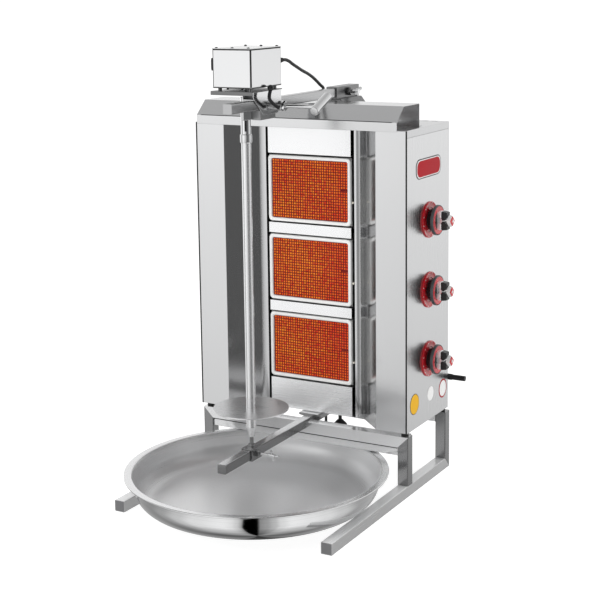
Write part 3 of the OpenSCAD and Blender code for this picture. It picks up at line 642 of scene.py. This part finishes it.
def tile_material():
    """Glowing perforated ceramic: small dark holes in an uneven orange."""
    s = Shader("glowing_tile", (0.20, 0.02, 0.004), rough=0.8)
    coord = s.node("ShaderNodeTexCoord")
    parts = s.node("ShaderNodeSeparateXYZ")
    s.link(coord.outputs["Object"], parts.inputs[0])
    waves = [s.math("SINE", s.math("MULTIPLY", parts.outputs[i], 2 * math.pi / 0.0023), 0)
             for i in ("X", "Z")]
    holes = s.spread(s.math("MULTIPLY", waves[0], waves[1]), 1.0, 0.4, 0.2, 0.7)
    spots = s.noise(190, detail=1)
    broad = s.noise(7, detail=1)
    glow = s.spread(s.math("ADD", s.math("MULTIPLY", spots, 0.7), s.math("MULTIPLY", broad, 0.3)),
                    0.0, 1.0, 0.40, 0.68)
    glow = s.math("MULTIPLY", glow, s.spread(parts.outputs["X"], 1.0, 0.35, at(20, 0, 0).x,
                                             at(100, 0, 0).x))
    mix = s.node("ShaderNodeMix", data_type="RGBA")
    mix.inputs["A"].default_value = (0.66, 0.034, 0.008, 1)
    mix.inputs["B"].default_value = (1.0, 0.33, 0.02, 1)
    s.link(glow, mix.inputs["Factor"])
    lit = s.node("ShaderNodeMix", data_type="RGBA")
    lit.inputs["A"].default_value = (0.10, 0.004, 0.001, 1)
    s.link(mix.outputs["Result"], lit.inputs["B"])
    s.link(holes, lit.inputs["Factor"])
    s.link(lit.outputs["Result"], s.bsdf.inputs["Emission Color"])
    s.put("Emission Strength", 1.05)
    s.bump(holes, 0.3, 0.0004)
    return s.mat


M["tile"] = tile_material()
hot = Shader("hot_wire", (0.10, 0.015, 0.012), metallic=0.3, rough=0.7, Emission_Strength=0.25)
hot.put("Emission Color", (0.40, 0.010, 0.012, 1))
wire_glow = hot.spread(hot.noise(40), 0.0, 1.0)
hot.tint(wire_glow, (0.05, 0.008, 0.008), (0.16, 0.02, 0.015))
M["wire"] = hot.mat

for i, z in enumerate(BURNER_Z):
    # Enamelled frame with a raised rounded section
    bm = bmesh.new()
    rings = []
    for inset, depth in ((0, 8), (0, 2.5), (0.8, 0.8), (2.4, 0), (5.2, 0), (7.2, 1.2), (8, 3),
                         (8, 8)):
        pts = rounded_outline(FRAME_W - 2 * inset, FRAME_H - 2 * inset,
                              max(8 - inset * 0.4, 4.5), 8)
        rings.append([bm.verts.new((u, FRAME_Y + depth, z + w)) for u, w in pts])
    rings.append(rings[0])
    for a, b in zip(rings, rings[1:]):
        for k in range(len(a)):
            bm.faces.new((a[k], a[(k + 1) % len(a)], b[(k + 1) % len(a)], b[k]))
    frame_piece = piece(f"burner_frame_{i + 1}", bm, M["enamel"], "chassis")
    if i == 0:
        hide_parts("burner_frames")
    # Woven wire guard in front of the tiles
    bm = bmesh.new()
    open_w, open_h = FRAME_W - 18, FRAME_H - 18
    cols, rows = 32, 22
    for c in range(cols + 1):
        x = -open_w / 2 + open_w * c / cols
        line = [Vector((x, FRAME_Y + 5.0 + 0.35 * (-1) ** (k + c), z - open_h / 2 - 2
                        + (open_h + 4) * k / rows)) for k in range(rows + 1)]
        sweep(bm, line, 1.15, sides=6, caps=False)
    for r in range(rows + 1):
        w = z - open_h / 2 + open_h * r / rows
        line = [Vector((-open_w / 2 - 2 + (open_w + 4) * k / cols,
                        FRAME_Y + 5.0 - 0.35 * (-1) ** (k + r), w)) for k in range(cols + 1)]
        sweep(bm, line, 1.15, sides=6, caps=False)
    guard = piece(f"burner_guard_{i + 1}", bm, M["wire"], "chassis")
    guard.visible_glossy = False
    # Igniter tip that shows through the guard
    bm = rod(bmesh.new(), (FRAME_W / 2 - 8, FRAME_Y + 8.6, z + 3),
             (FRAME_W / 2 - 27, FRAME_Y + 8.6, z + 3), 2.2, edge=0.8)
    extra(f"burner_igniter_{i + 1}", bm, M["wire"], "chassis")
cad(M["tile"], "ceramic_tiles")
NODES["ceramic_tiles"].visible_glossy = False

# -------------------------------------------------------------- drip pan
PAN_Y, PAN_WALL, PAN_RIM, PAN_TOP, PAN_FLOOR = -194, 264, 280, 88, 20.5


def pan_material(name, tone, rough, radial, metallic=1.0):
    """Spun steel: its grain runs round the pan."""
    color = (tone, tone * 1.004, tone * 1.01)
    s = Shader(name, color, metallic=metallic, rough=rough)
    coord = s.node("ShaderNodeTexCoord")
    shift = s.node("ShaderNodeMapping")
    shift.inputs["Location"].default_value = -at(0, PAN_Y, 0)
    s.link(coord.outputs["Object"], shift.inputs["Vector"])
    parts = s.node("ShaderNodeSeparateXYZ")
    s.link(shift.outputs["Vector"], parts.inputs[0])
    radius = s.math("SQRT", s.math("ADD", s.math("POWER", parts.outputs["X"], 2),
                                   s.math("POWER", parts.outputs["Y"], 2)), 0)
    ring = s.node("ShaderNodeCombineXYZ")
    s.link(radius, ring.inputs["X"])
    s.link(parts.outputs["Z"], ring.inputs["Z"])
    lines = s.noise(1, (radial, 1, radial), detail=4, source=ring.outputs["Vector"])
    broad = s.noise(5, detail=2)
    s.link(s.math("ADD", s.spread(lines, rough * 0.8, rough * 1.2),
                  s.spread(broad, -0.02, 0.03)), s.bsdf.inputs["Roughness"])
    s.tint(s.spread(lines, 0.0, 1.0), [c * 0.94 for c in color], [min(1, c * 1.03) for c in color])
    s.bump(lines, 0.08, 0.0001)
    return s.mat


M["pan_in"] = pan_material("pan_inside", 0.96, 0.34, 1400, 0.78)
M["pan_rim"] = pan_material("pan_rim_edge", 0.92, 0.22, 900, 0.9)
M["pan_out"] = pan_material("pan_outside", 0.88, 0.05, 700)
bend, flare, t = 45, 4, 1.5
foot = PAN_WALL - flare - bend
outer = [(foot + bend * math.sin(math.radians(a)),
          PAN_FLOOR + bend - bend * math.cos(math.radians(a))) for a in range(0, 91, 6)]
inner = [(foot + (bend - t) * math.sin(math.radians(a)),
          PAN_FLOOR + bend - (bend - t) * math.cos(math.radians(a))) for a in range(90, -1, -6)]
rim_out = [(PAN_WALL - 1.5, PAN_TOP - 6), (PAN_WALL + 0.5, PAN_TOP - 2.6),
           (PAN_WALL + 3.5, PAN_TOP - 1.5), (PAN_RIM - 2, PAN_TOP - 1.5),
           (PAN_RIM - 2, PAN_TOP - 3.6), (PAN_RIM - 0.6, PAN_TOP - 3.6),
           (PAN_RIM, PAN_TOP - 2.6), (PAN_RIM, PAN_TOP - 1), (PAN_RIM - 1, PAN_TOP)]
rim_in = [(PAN_WALL + 3.5, PAN_TOP), (PAN_WALL + 0.4, PAN_TOP - 0.8),
          (PAN_WALL - 1.6, PAN_TOP - 3), (PAN_WALL - 3, PAN_TOP - 7)]
profile = [(0, PAN_FLOOR)] + outer + rim_out + rim_in + inner + [(0, PAN_FLOOR + t)]
outside = 1 + len(outer) + len(rim_out) - 2
bm = lathe(bmesh.new(), profile, (0, PAN_Y, 0), steps=160,
           mats=[0] * outside + [2] * 3 + [1] * (len(profile) - 4 - outside))
standing_for(piece("drip_pan_spun", bm, [M["pan_out"], M["pan_in"], M["pan_rim"]], "pan"),
             "drip_pan")

# ----------------------------------------------------------- arms and spit
softened("upper_arm", M["arm"], 2.0, along="y", rest=0.5)
softened("lower_arm", M["bright_y"], 2.0, along="y", rest=0.5)
softened("arm_sleeve", M["sleeve"], 1.2)
softened("arm_pedestal", M["sleeve"], 0.6)
softened("carriage_bracket", M["bright_x"], 0.6)
softened("carriage_block", M["carriage"], 1.5)
softened("lower_clamp", M["bright_y"], 1.0)
softened("motor_tray", M["tray"], 0.7)
cad(M["carriage"], "motor_base")
cad(M["casting"], "gearmotor")
cad(M["chrome"], "drive_shaft")
cad(M["spit"], "spit")
cad(M["disc"], "meat_disc")

SPIT_Y = -212
SCREW_Y, SCREW_Z = -164, 855
LEVER_X, CLAMP_Z = 55, 129

# Coupler: polished sleeve, a knurled collar at its foot and a dark window strip on its side
bm = bmesh.new()
lathe(bm, [(6.3, 801), (6.3, 874.5), (10, 875), (10.5, 874.4), (10.5, 801.5), (10.6, 800),
           (11.6, 799.4), (12.3, 798.4), (12.3, 784), (11.6, 782.3), (10.3, 782), (10.3, 800.5)],
      (0, SPIT_Y, 0), steps=96,
      wave=lambda a, r, h: r - (0.25 * (math.cos(32 * a) > 0.3)) if 12 < r < 12.5 else r)
standing_for(piece("coupler_turned", bm, M["chrome"], "coupler_sleeve"), "coupler")
bm = bmesh.new()
slot_turn = Matrix.Translation((0, SPIT_Y, 0)) @ Matrix.Rotation(math.radians(-62), 4, "Z")
part = block(bmesh.new(), (10.2, 10.9), (-2.2, 2.2), (806, 868), 0.3)
merge(bm, part, 0, slot_turn)
extra("coupler_window", bm, M["black_oxide"], "coupler_sleeve")

# Clamping screw with its roller handle
bm = bmesh.new()
rod(bm, (36.4, SCREW_Y, SCREW_Z), (132, SCREW_Y, SCREW_Z), 4, edge=0.5)
lathe(bm, [(4, 60.9), (9.5, 60.9), (10, 61.5), (10, 66), (9.5, 66.6), (4, 66.6)],
      (0, SCREW_Y, SCREW_Z), (1, 0, 0), 6)
standing_for(piece("handle_screw_rod", bm, M["chrome"], "handle_screw"), "carriage_screw")
tilt = math.radians(24)
across = Vector((0, math.cos(tilt), math.sin(tilt)))
hub = Vector((140, SCREW_Y, SCREW_Z))
bm = bmesh.new()
lathe(bm, [(0, -18), (3.0, -18), (3.4, -19), (7.4, -19), (8.9, -18.2), (9.5, -16.6), (9.5, -5),
           (9.5, 8), (9.5, 30), (9.5, 44.6), (8.9, 46.2), (7.4, 47), (3.4, 47), (3.0, 46),
           (0, 46)], hub, across, 40)
extra("handle_screw_grip", bm, M["bright_x"], "handle_screw")

# Cranked lever with a black ball
crank = smooth_path([(LEVER_X, SCREW_Y + y, SCREW_Z + z) for y, z in (
    (-9.8, -3), (-20, 1), (-38, 11), (-46, 18), (-46, 25), (-41.4, 35))], 6)
bm = sweep(bmesh.new(), crank, 3.6, sides=16)
standing_for(piece("release_lever_bent", bm, M["black_oxide"], "lever"), "release_lever")
bm = bmesh.new()
lathe(bm, [(0, -7), (2.6, -7), (3.2, -6)] + [(6.5 * math.sin(math.radians(a)),
      -6.5 * math.cos(math.radians(a))) for a in range(35, 176, 10)] + [(0, 6.5)],
      (LEVER_X, SCREW_Y - 41, SCREW_Z + 39), (0, 0.15, 0.99), 28)
extra("release_lever_ball", bm, M["black"], "lever")
bm = bmesh.new()
lathe(bm, [(8.3, -4), (10.2, -4), (10.8, -3.4), (10.8, 3.4), (10.2, 4), (8.3, 4), (8.3, -4)],
      (LEVER_X, SCREW_Y, SCREW_Z), (1, 0, 0), 40)
extra("release_lever_hub", bm, M["chrome"], "lever")


def wing_nut(name, body, node, x, y, z, shaft, reach, span, thick, turn, mat):
    """A wing screw along X: threaded rod, round head and two rounded wings."""
    made = bmesh.new()
    rod(made, (x, y, z), (x + reach, y, z), shaft, edge=0.4)
    lathe(made, [(shaft, 0), (shaft + 2, 0), (shaft + 2.4, 0.6), (shaft + 1.4, 7), (0, 7.4)],
          (x + reach - 6, y, z), (1, 0, 0), 28)
    for way in (0, math.pi):
        part = bmesh.new()
        outline = [(shaft * 0.6, -3.0), (span * 0.55, -3.4), (span * 0.85, -2.6), (span, 0.6),
                   (span * 0.93, 3.6), (span * 0.75, 4.6), (span * 0.5, 3.0), (shaft * 0.6, 1.6)]
        plate(part, outline, lambda u, v, w: Vector((x + reach - 1 + v, u, w - thick / 2)),
              thick, edge=0.4)
        move = (Matrix.Translation((0, y, z)) @ Matrix.Rotation(turn + way, 4, "X"))
        merge(made, part, 0, move)
    obj = piece(name, made, mat, body)
    return standing_for(obj, node)


wing_nut("sleeve_wing_screw", "wing_screw", "sleeve_screw", 36.3, 170, 860, 3.9, 27, 15, 4.5,
         math.radians(35), M["chrome"])

# Tommy screw of the lower clamp
bm = bmesh.new()
rod(bm, (10.2, SPIT_Y, CLAMP_Z), (58, SPIT_Y, CLAMP_Z), 3, edge=0.4)
lathe(bm, [(0, 40), (3, 40), (4.4, 41.4), (4.5, 43), (4.5, 54), (4, 56), (0, 56)],
      (0, SPIT_Y, CLAMP_Z), (1, 0, 0), 28)
cross = Vector((0, -math.sin(math.radians(20)), math.cos(math.radians(20))))
mid = Vector((50, SPIT_Y, CLAMP_Z))
rod(bm, mid - 12.5 * cross, mid + 12.5 * cross, 2, edge=0.3)
for end in (-1, 1):
    lathe(bm, [(0, -2.4), (2, -1.8), (2.6, 0), (2, 1.8), (0, 2.4)], mid + 11.5 * end * cross,
          cross, 16)
rod(bm, (56, SPIT_Y, CLAMP_Z), (66, SPIT_Y, CLAMP_Z), 2.4, edge=1)
standing_for(piece("clamp_tommy_screw", bm, M["chrome"], "pivot_screw"), "clamp_screw")

# --------------------------------------------------------------- motor box
# The dark core behind the panels' gaps is hollow, which leaves room for the drive shaft
MX, MY, MZ = (-43, 47), (-266, -146), (895.6, 975)
bm = bmesh.new()
CORE_X, CORE_Y = (MX[0] + 0.9, MX[1] - 0.9), (MY[0] + 0.9, MY[1] - 0.9)
CORE_TOP, CORE_WALL = MZ[1] - 1.2, 3
block(bm, CORE_X, CORE_Y, (CORE_TOP - CORE_WALL, CORE_TOP))
for x in ((CORE_X[0], CORE_X[0] + CORE_WALL), (CORE_X[1] - CORE_WALL, CORE_X[1])):
    block(bm, x, CORE_Y, (MZ[0], CORE_TOP - CORE_WALL))
for y in ((CORE_Y[0], CORE_Y[0] + CORE_WALL), (CORE_Y[1] - CORE_WALL, CORE_Y[1])):
    block(bm, (CORE_X[0] + CORE_WALL, CORE_X[1] - CORE_WALL), y, (MZ[0], CORE_TOP - CORE_WALL))
standing_for(piece("motor_box_core", bm, M["black_paint"], "carriage"), "motor_cover")
bm = bmesh.new()
GAP, WALL = 2.8, 1.2
wide, deep = (MX[0] + GAP, MX[1] - GAP), (MY[0] + GAP, MY[1] - GAP)
for x, y in ((wide, (MY[0], MY[0] + WALL)), ((MX[1] - WALL, MX[1]), deep),
             ((MX[0], MX[0] + WALL), deep), (wide, (MY[1] - WALL, MY[1]))):
    block(bm, x, y, (MZ[0] + 1.4, MZ[1] - 4.2), 0.35)
block(bm, MX, MY, (MZ[1] - 1.8, MZ[1]), 0.6)
extra("motor_box_panels", bm,
      steel("motor_steel", 0.76, 0.14, "z", 0.01, 0.02, 0.01, contrast=0.1), "carriage")
bm = bmesh.new()
for dx in (8, 45, 82):
    for dy in (4, 116):
        lathe(bm, [(3.2, 0), (3.0, 0.7), (2.0, 1.5), (0.9, 1.8), (0.9, 1.2), (0, 1.2)],
              (MX[0] + dx, MY[0] + dy, MZ[1]), (0, 0, 1), 20)
for dx, dy in ((30, 0), (64, 0)):
    lathe(bm, [(2.6, 0), (2.6, 3), (0, 3)], (MX[0] + dx, MY[0] + 9, 892.5), (0, 0, 1), 6)
extra("motor_box_screws", bm, M["black_oxide"], "carriage")
# Rocker switch on the left wall
bm = bmesh.new()
block(bm, (MX[0] - 4.4, MX[0] + 0.4), (-263, -245), (930, 955), 0.8)
block(bm, (MX[0] - 6.2, MX[0] - 4), (-261, -247), (933, 952), 0.8)
extra("motor_switch", bm, M["black"], "carriage")
# Tapered strain relief with flex cuts
profile = [(9.2, -1.2), (9.2, 2.4), (8.4, 3.2)]
for k in range(5):
    start, r = 3.6 + k * 4.0, 7.9 - k * 0.72
    profile += [(r, start), (r - 0.3, start + 2.4), (r - 1.3, start + 2.5), (r - 1.3, start + 3.9)]
profile += [(4.6, 23.8), (4.3, 24.5), (3.6, 24.5), (3.6, -1.2), (9.2, -1.2)]
bm = lathe(bmesh.new(), profile, (35, -146, 945), (0, 1, 0), 32)
standing_for(piece("cord_gland_relief", bm, M["rubber"], "carriage"), "cord_gland")

# ---------------------------------------------------------------- controls
PANEL_X = 260
KNOB_Y = 115
KNOBS = (("lower", 284), ("middle", 438.5), ("upper", 593))
for i, (label, z) in enumerate(KNOBS):
    face = (PANEL_X, KNOB_Y, z)
    # Dished bezel with a rolled rim
    bm = lathe(bmesh.new(), [(26.5, 0), (39, 0), (39.5, 0.6), (39.5, 2.6), (38.9, 3.4), (38, 3.5),
                             (37, 3.1), (34.5, 2.2), (29, 1.7), (27.4, 2.4), (26.5, 2.2),
                             (26.5, 0)], face, (1, 0, 0), 96)
    bezel = piece(f"knob_bezel_{label}", bm, M["red"], "chassis")
    if i == 0:
        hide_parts("knob_bezels")
    bm = bmesh.new()
    lathe(bm, [(8, 0.2), (26.5, 0.2), (26.5, 0.7), (8, 0.7), (8, 0.2)], face, (1, 0, 0), 48)
    extra(f"knob_well_{label}", bm, M["red"], "chassis")
    # Marks on the bezel: plain raised studs
    bm = bmesh.new()
    for k in range(12):
        a = math.radians(30 * k + 15)
        c = Vector((PANEL_X + 2.6, KNOB_Y + 36.4 * math.sin(a), z + 36.4 * math.cos(a)))
        lathe(bm, [(1.3, -1), (1.3, 0.6), (1.0, 0.9), (0, 1.0)], c, (1, 0, 0), 16)
    extra(f"knob_marks_{label}", bm, M["white"], "chassis")

    # Fluted skirt
    body = f"knob_body_{label}"
    bm = lathe(bmesh.new(), [(4, 4), (22.6, 4), (23, 4.6), (23.4, 8), (24.2, 13), (27, 15.6),
                             (4, 15.6)], face, (1, 0, 0), 120,
               wave=lambda a, r, h: r - 1.0 * max(0, math.cos(24 * a)) if 22.8 < r < 25 else r)
    rod(bm, (PANEL_X - 43, KNOB_Y, z), (PANEL_X + 10, KNOB_Y, z), 3, edge=0.4)
    standing_for(piece(f"knob_skirt_{label}", bm, M["black"], body), f"knob_{label}")
    # Dark band with the red ring inside it
    bm = lathe(bmesh.new(), [(24.5, 15.2), (31.6, 15.5), (33, 16.7), (33, 21.6), (32.3, 22.6),
                             (30.8, 23), (30.6, 22)], face, (1, 0, 0), 96)
    extra(f"knob_band_{label}", bm, M["band"], body)
    bm = lathe(bmesh.new(), [(31, 17), (30.7, 22.2), (29.8, 23), (21, 23), (20, 22.2), (19.6, 20)],
               face, (1, 0, 0), 96)
    extra(f"knob_ring_{label}", bm, M["red"], body)
    bm = lathe(bmesh.new(), [(20.6, 20.2), (12, 21.4), (0, 21.8)], face, (1, 0, 0), 48)
    extra(f"knob_dish_{label}", bm, M["black"], body)
    # Grip: a black bow tie on a chrome foot, with a pointer diamond on its end
    bm = bmesh.new()
    for way in (-1, 1):
        low, high = sorted((z + 5 * way, z + 20.5 * way))
        block(bm, (PANEL_X + 20, PANEL_X + 32), (KNOB_Y - 9, KNOB_Y + 9), (low, high), 2.2, 3)
    block(bm, (PANEL_X + 20, PANEL_X + 38), (KNOB_Y - 7, KNOB_Y + 7), (z - 6, z + 6), 1.5, 2)
    # The cheeks' near-white colour is a painted highlight.
    extra(f"knob_cheeks_{label}", bm, M["cheek"], body)
    bm = bmesh.new()
    for way in (-1, 1):
        part = bmesh.new()
        outline = [(29, 8 * way), (31, 18.8 * way), (33, 20.6 * way), (44, 19 * way),
                   (45, 17.6 * way), (44.5, 7.5 * way), (38, 1.0 * way), (34, 1.0 * way)]
        plate(part, outline if way > 0 else outline[::-1],
              lambda u, v, w: Vector((PANEL_X + u, KNOB_Y - 8.2 + w, z + v)), 16.4, edge=0.8)
        merge(bm, part, 0)
    extra(f"knob_grip_{label}", bm, M["black"], body)
    quarter = Matrix.Translation((0, KNOB_Y, z)) @ Matrix.Rotation(math.radians(45), 4, "X")
    bm = merge(bmesh.new(), block(bmesh.new(), (PANEL_X + 45, PANEL_X + 53), (-9, 9), (-9, 9),
                                  0.8), 0, quarter)
    extra(f"knob_pointer_rim_{label}", bm, M["white"], body)
    bm = merge(bmesh.new(), block(bmesh.new(), (PANEL_X + 52.6, PANEL_X + 55.2), (-7.4, 7.4),
                                  (-7.4, 7.4), 0.5), 0, quarter)
    merge(bm, block(bmesh.new(), (PANEL_X + 54.8, PANEL_X + 56), (-3, 3), (-3, 3), 0.3), 1,
          quarter)
    extra(f"knob_pointer_{label}", bm, [M["red"], M["white"]], body)


def on_panel(u, v, w):
    return Vector((PANEL_X + w, u, v))


def centred(outline, y, z):
    return [(y + u, z + v) for u, v in outline]


# Blank badge: grey edge, pale line, red field
bm = plate(bmesh.new(), centred(rounded_outline(130, 43, 17), 110, 708), on_panel, 0.5, 0, 0.15)
merge(bm, plate(bmesh.new(), centred(rounded_outline(125, 38.6, 15), 110, 708), on_panel, 0.75), 1)
merge(bm, plate(bmesh.new(), centred(rounded_outline(120, 34.6, 15), 110, 708), on_panel, 1.0), 2)
standing_for(piece("blank_badge_plate", bm, [M["grey"], M["white"], M["badge"]], "chassis"),
             "blank_badge")


def disc_outline(r, y, z):
    steps = 64
    return [(y + r * math.cos(2 * math.pi * k / steps), z + r * math.sin(2 * math.pi * k / steps))
            for k in range(steps)]


bm = plate(bmesh.new(), disc_outline(23, 39, 200), on_panel, 0.3)
merge(bm, plate(bmesh.new(), disc_outline(21.6, 39, 200), on_panel, 0.4), 1)
standing_for(piece("round_sticker_yellow", bm, [M["grey"], M["yellow"]], "chassis"),
             "yellow_sticker")
bm = plate(bmesh.new(), disc_outline(16, 124, 202), on_panel, 0.4)
merge(bm, plate(bmesh.new(), disc_outline(21.5, 192, 196), on_panel, 0.25), 1)
merge(bm, plate(bmesh.new(), disc_outline(18, 192, 196), on_panel, 0.4), 0)
standing_for(piece("round_stickers_white", bm, [M["sticker"], M["badge"]], "chassis"),
             "white_stickers")

# ---------------------------------------------------------------- stage
FLOOR_HALF = 25.0
floor_mesh = bpy.data.meshes.new("floor")
floor_mesh.from_pydata([(-FLOOR_HALF, -FLOOR_HALF, 0), (FLOOR_HALF, -FLOOR_HALF, 0),
                        (FLOOR_HALF, FLOOR_HALF, 0), (-FLOOR_HALF, FLOOR_HALF, 0)], [],
                       [(0, 1, 2, 3)])
floor_mat = Shader("floor_white", (0.40, 0.40, 0.40), rough=0.9, Emission_Strength=0.86)
floor_mat.put("Emission Color", (1, 1, 1, 1))
floor_mesh.materials.append(floor_mat.mat)
floor = bpy.data.objects.new("floor", floor_mesh)
floor.location.z = -0.0004
bpy.context.collection.objects.link(floor)
floor.visible_glossy = False


def softbox(name, place, target, size, power, tall=None):
    data = bpy.data.lights.new(name, "AREA")
    data.shape = "RECTANGLE"
    data.size = size
    data.size_y = tall or size
    data.energy = power
    obj = bpy.data.objects.new(name, data)
    obj.location = place
    aim = Vector(target) - Vector(place)
    obj.rotation_euler = aim.to_track_quat("-Z", "Y").to_euler()
    obj.visible_glossy = False
    bpy.context.collection.objects.link(obj)


softbox("key_left", (-2.8, -2.4, 2.2), (0, 0, 0.5), 1.6, 44, 2.0)
softbox("top", (0.3, -0.6, 3.2), (0, 0, 0.4), 2.2, 34)
softbox("back_right", (2.6, 2.4, 1.6), (0, 0, 0.6), 1.8, 22, 2.2)

# Studio surroundings: brightness by height above the horizon times brightness by bearing
world = bpy.data.worlds.new("studio")
world.use_nodes = True
bpy.context.scene.world = world
tree = world.node_tree
link = tree.links.new
background = tree.nodes["Background"]
coord = tree.nodes.new("ShaderNodeTexCoord")
axes = tree.nodes.new("ShaderNodeSeparateXYZ")
link(coord.outputs["Generated"], axes.inputs[0])


def world_math(op, *inputs):
    made = tree.nodes.new("ShaderNodeMath")
    made.operation = op
    for i, v in enumerate(inputs):
        if isinstance(v, (int, float)):
            made.inputs[i].default_value = v
        else:
            link(v, made.inputs[i])
    return made.outputs[0]


def ramp(angle, low, high, stops):
    """Brightness from a list of (degrees, value); angle is in radians."""
    share = world_math("DIVIDE", world_math("SUBTRACT", angle, math.radians(low)),
                       math.radians(high - low))
    made = tree.nodes.new("ShaderNodeValToRGB")
    band = made.color_ramp
    band.interpolation = "EASE"
    while len(band.elements) < len(stops):
        band.elements.new(0.5)
    for e, (deg, v) in zip(band.elements, stops):
        e.position = (deg - low) / (high - low)
        e.color = (v / 1.2, v / 1.2, v / 1.2, 1)
    link(share, made.inputs[0])
    return made.outputs["Color"]


rise = world_math("ARCSINE", axes.outputs["Z"])
turn = world_math("ARCTAN2", axes.outputs["Y"], axes.outputs["X"])
height = ramp(rise, -90, 90, [
    (-90, 0.24), (-75, 0.34), (-60, 0.55), (-40, 0.84), (-24, 0.92), (-18, 0.86), (-11, 1.02),
    (-5, 1.18), (5, 1.05), (20, 0.95), (40, 0.78), (60, 0.60), (90, 0.85)])
above = ramp(turn, -180, 180, [
    (-180, 0.92), (-166, 0.60), (-155, 0.30), (-140, 0.32), (-129, 0.95), (-120, 1.0),
    (-112, 0.86), (-95, 0.80), (-80, 0.65), (-65, 0.45), (-48, 0.10), (-12, 0.11), (10, 0.5),
    (35, 0.80),
    (50, 0.88), (70, 0.84), (100, 0.85), (130, 0.9), (180, 0.92)])
below = ramp(turn, -180, 180, [
    (-180, 0.32), (-164, 0.42), (-143, 0.68), (-125, 0.92), (-93, 1.08), (-86, 1.0), (-79, 0.78),
    (-75, 0.5), (-73, 0.0), (-58.5, 0.0), (-56.5, 0.34), (-50, 0.42), (-42, 0.62), (-35, 0.9),
    (-24, 1.08), (-4, 1.0), (13, 0.9), (33, 0.70), (57, 0.42), (90, 0.5), (111, 0.46),
    (114, 0.12), (124, 0.12), (127, 0.45), (140, 0.45), (180, 0.32)])
level_mix = tree.nodes.new("ShaderNodeMapRange")
level_mix.interpolation_type = "SMOOTHSTEP"
level_mix.inputs["From Min"].default_value = math.radians(-20.8)
level_mix.inputs["From Max"].default_value = math.radians(-18.8)
link(rise, level_mix.inputs["Value"])
side = tree.nodes.new("ShaderNodeMix")
side.data_type = "RGBA"
link(level_mix.outputs["Result"], side.inputs["Factor"])
link(below, side.inputs["A"])
link(above, side.inputs["B"])
bearing = side.outputs["Result"]
room = tree.nodes.new("ShaderNodeVectorMath")
room.operation = "MULTIPLY"
link(height, room.inputs[0])
link(bearing, room.inputs[1])
path = tree.nodes.new("ShaderNodeLightPath")
seen = tree.nodes.new("ShaderNodeMix")
seen.data_type = "RGBA"
seen.inputs["B"].default_value = (0.75, 0.75, 0.75, 1)
link(room.outputs[0], seen.inputs["A"])
link(path.outputs["Is Camera Ray"], seen.inputs["Factor"])
link(seen.outputs["Result"], background.inputs["Color"])
background.inputs["Strength"].default_value = 1.44
bpy.context.scene.view_settings.view_transform = "Standard"
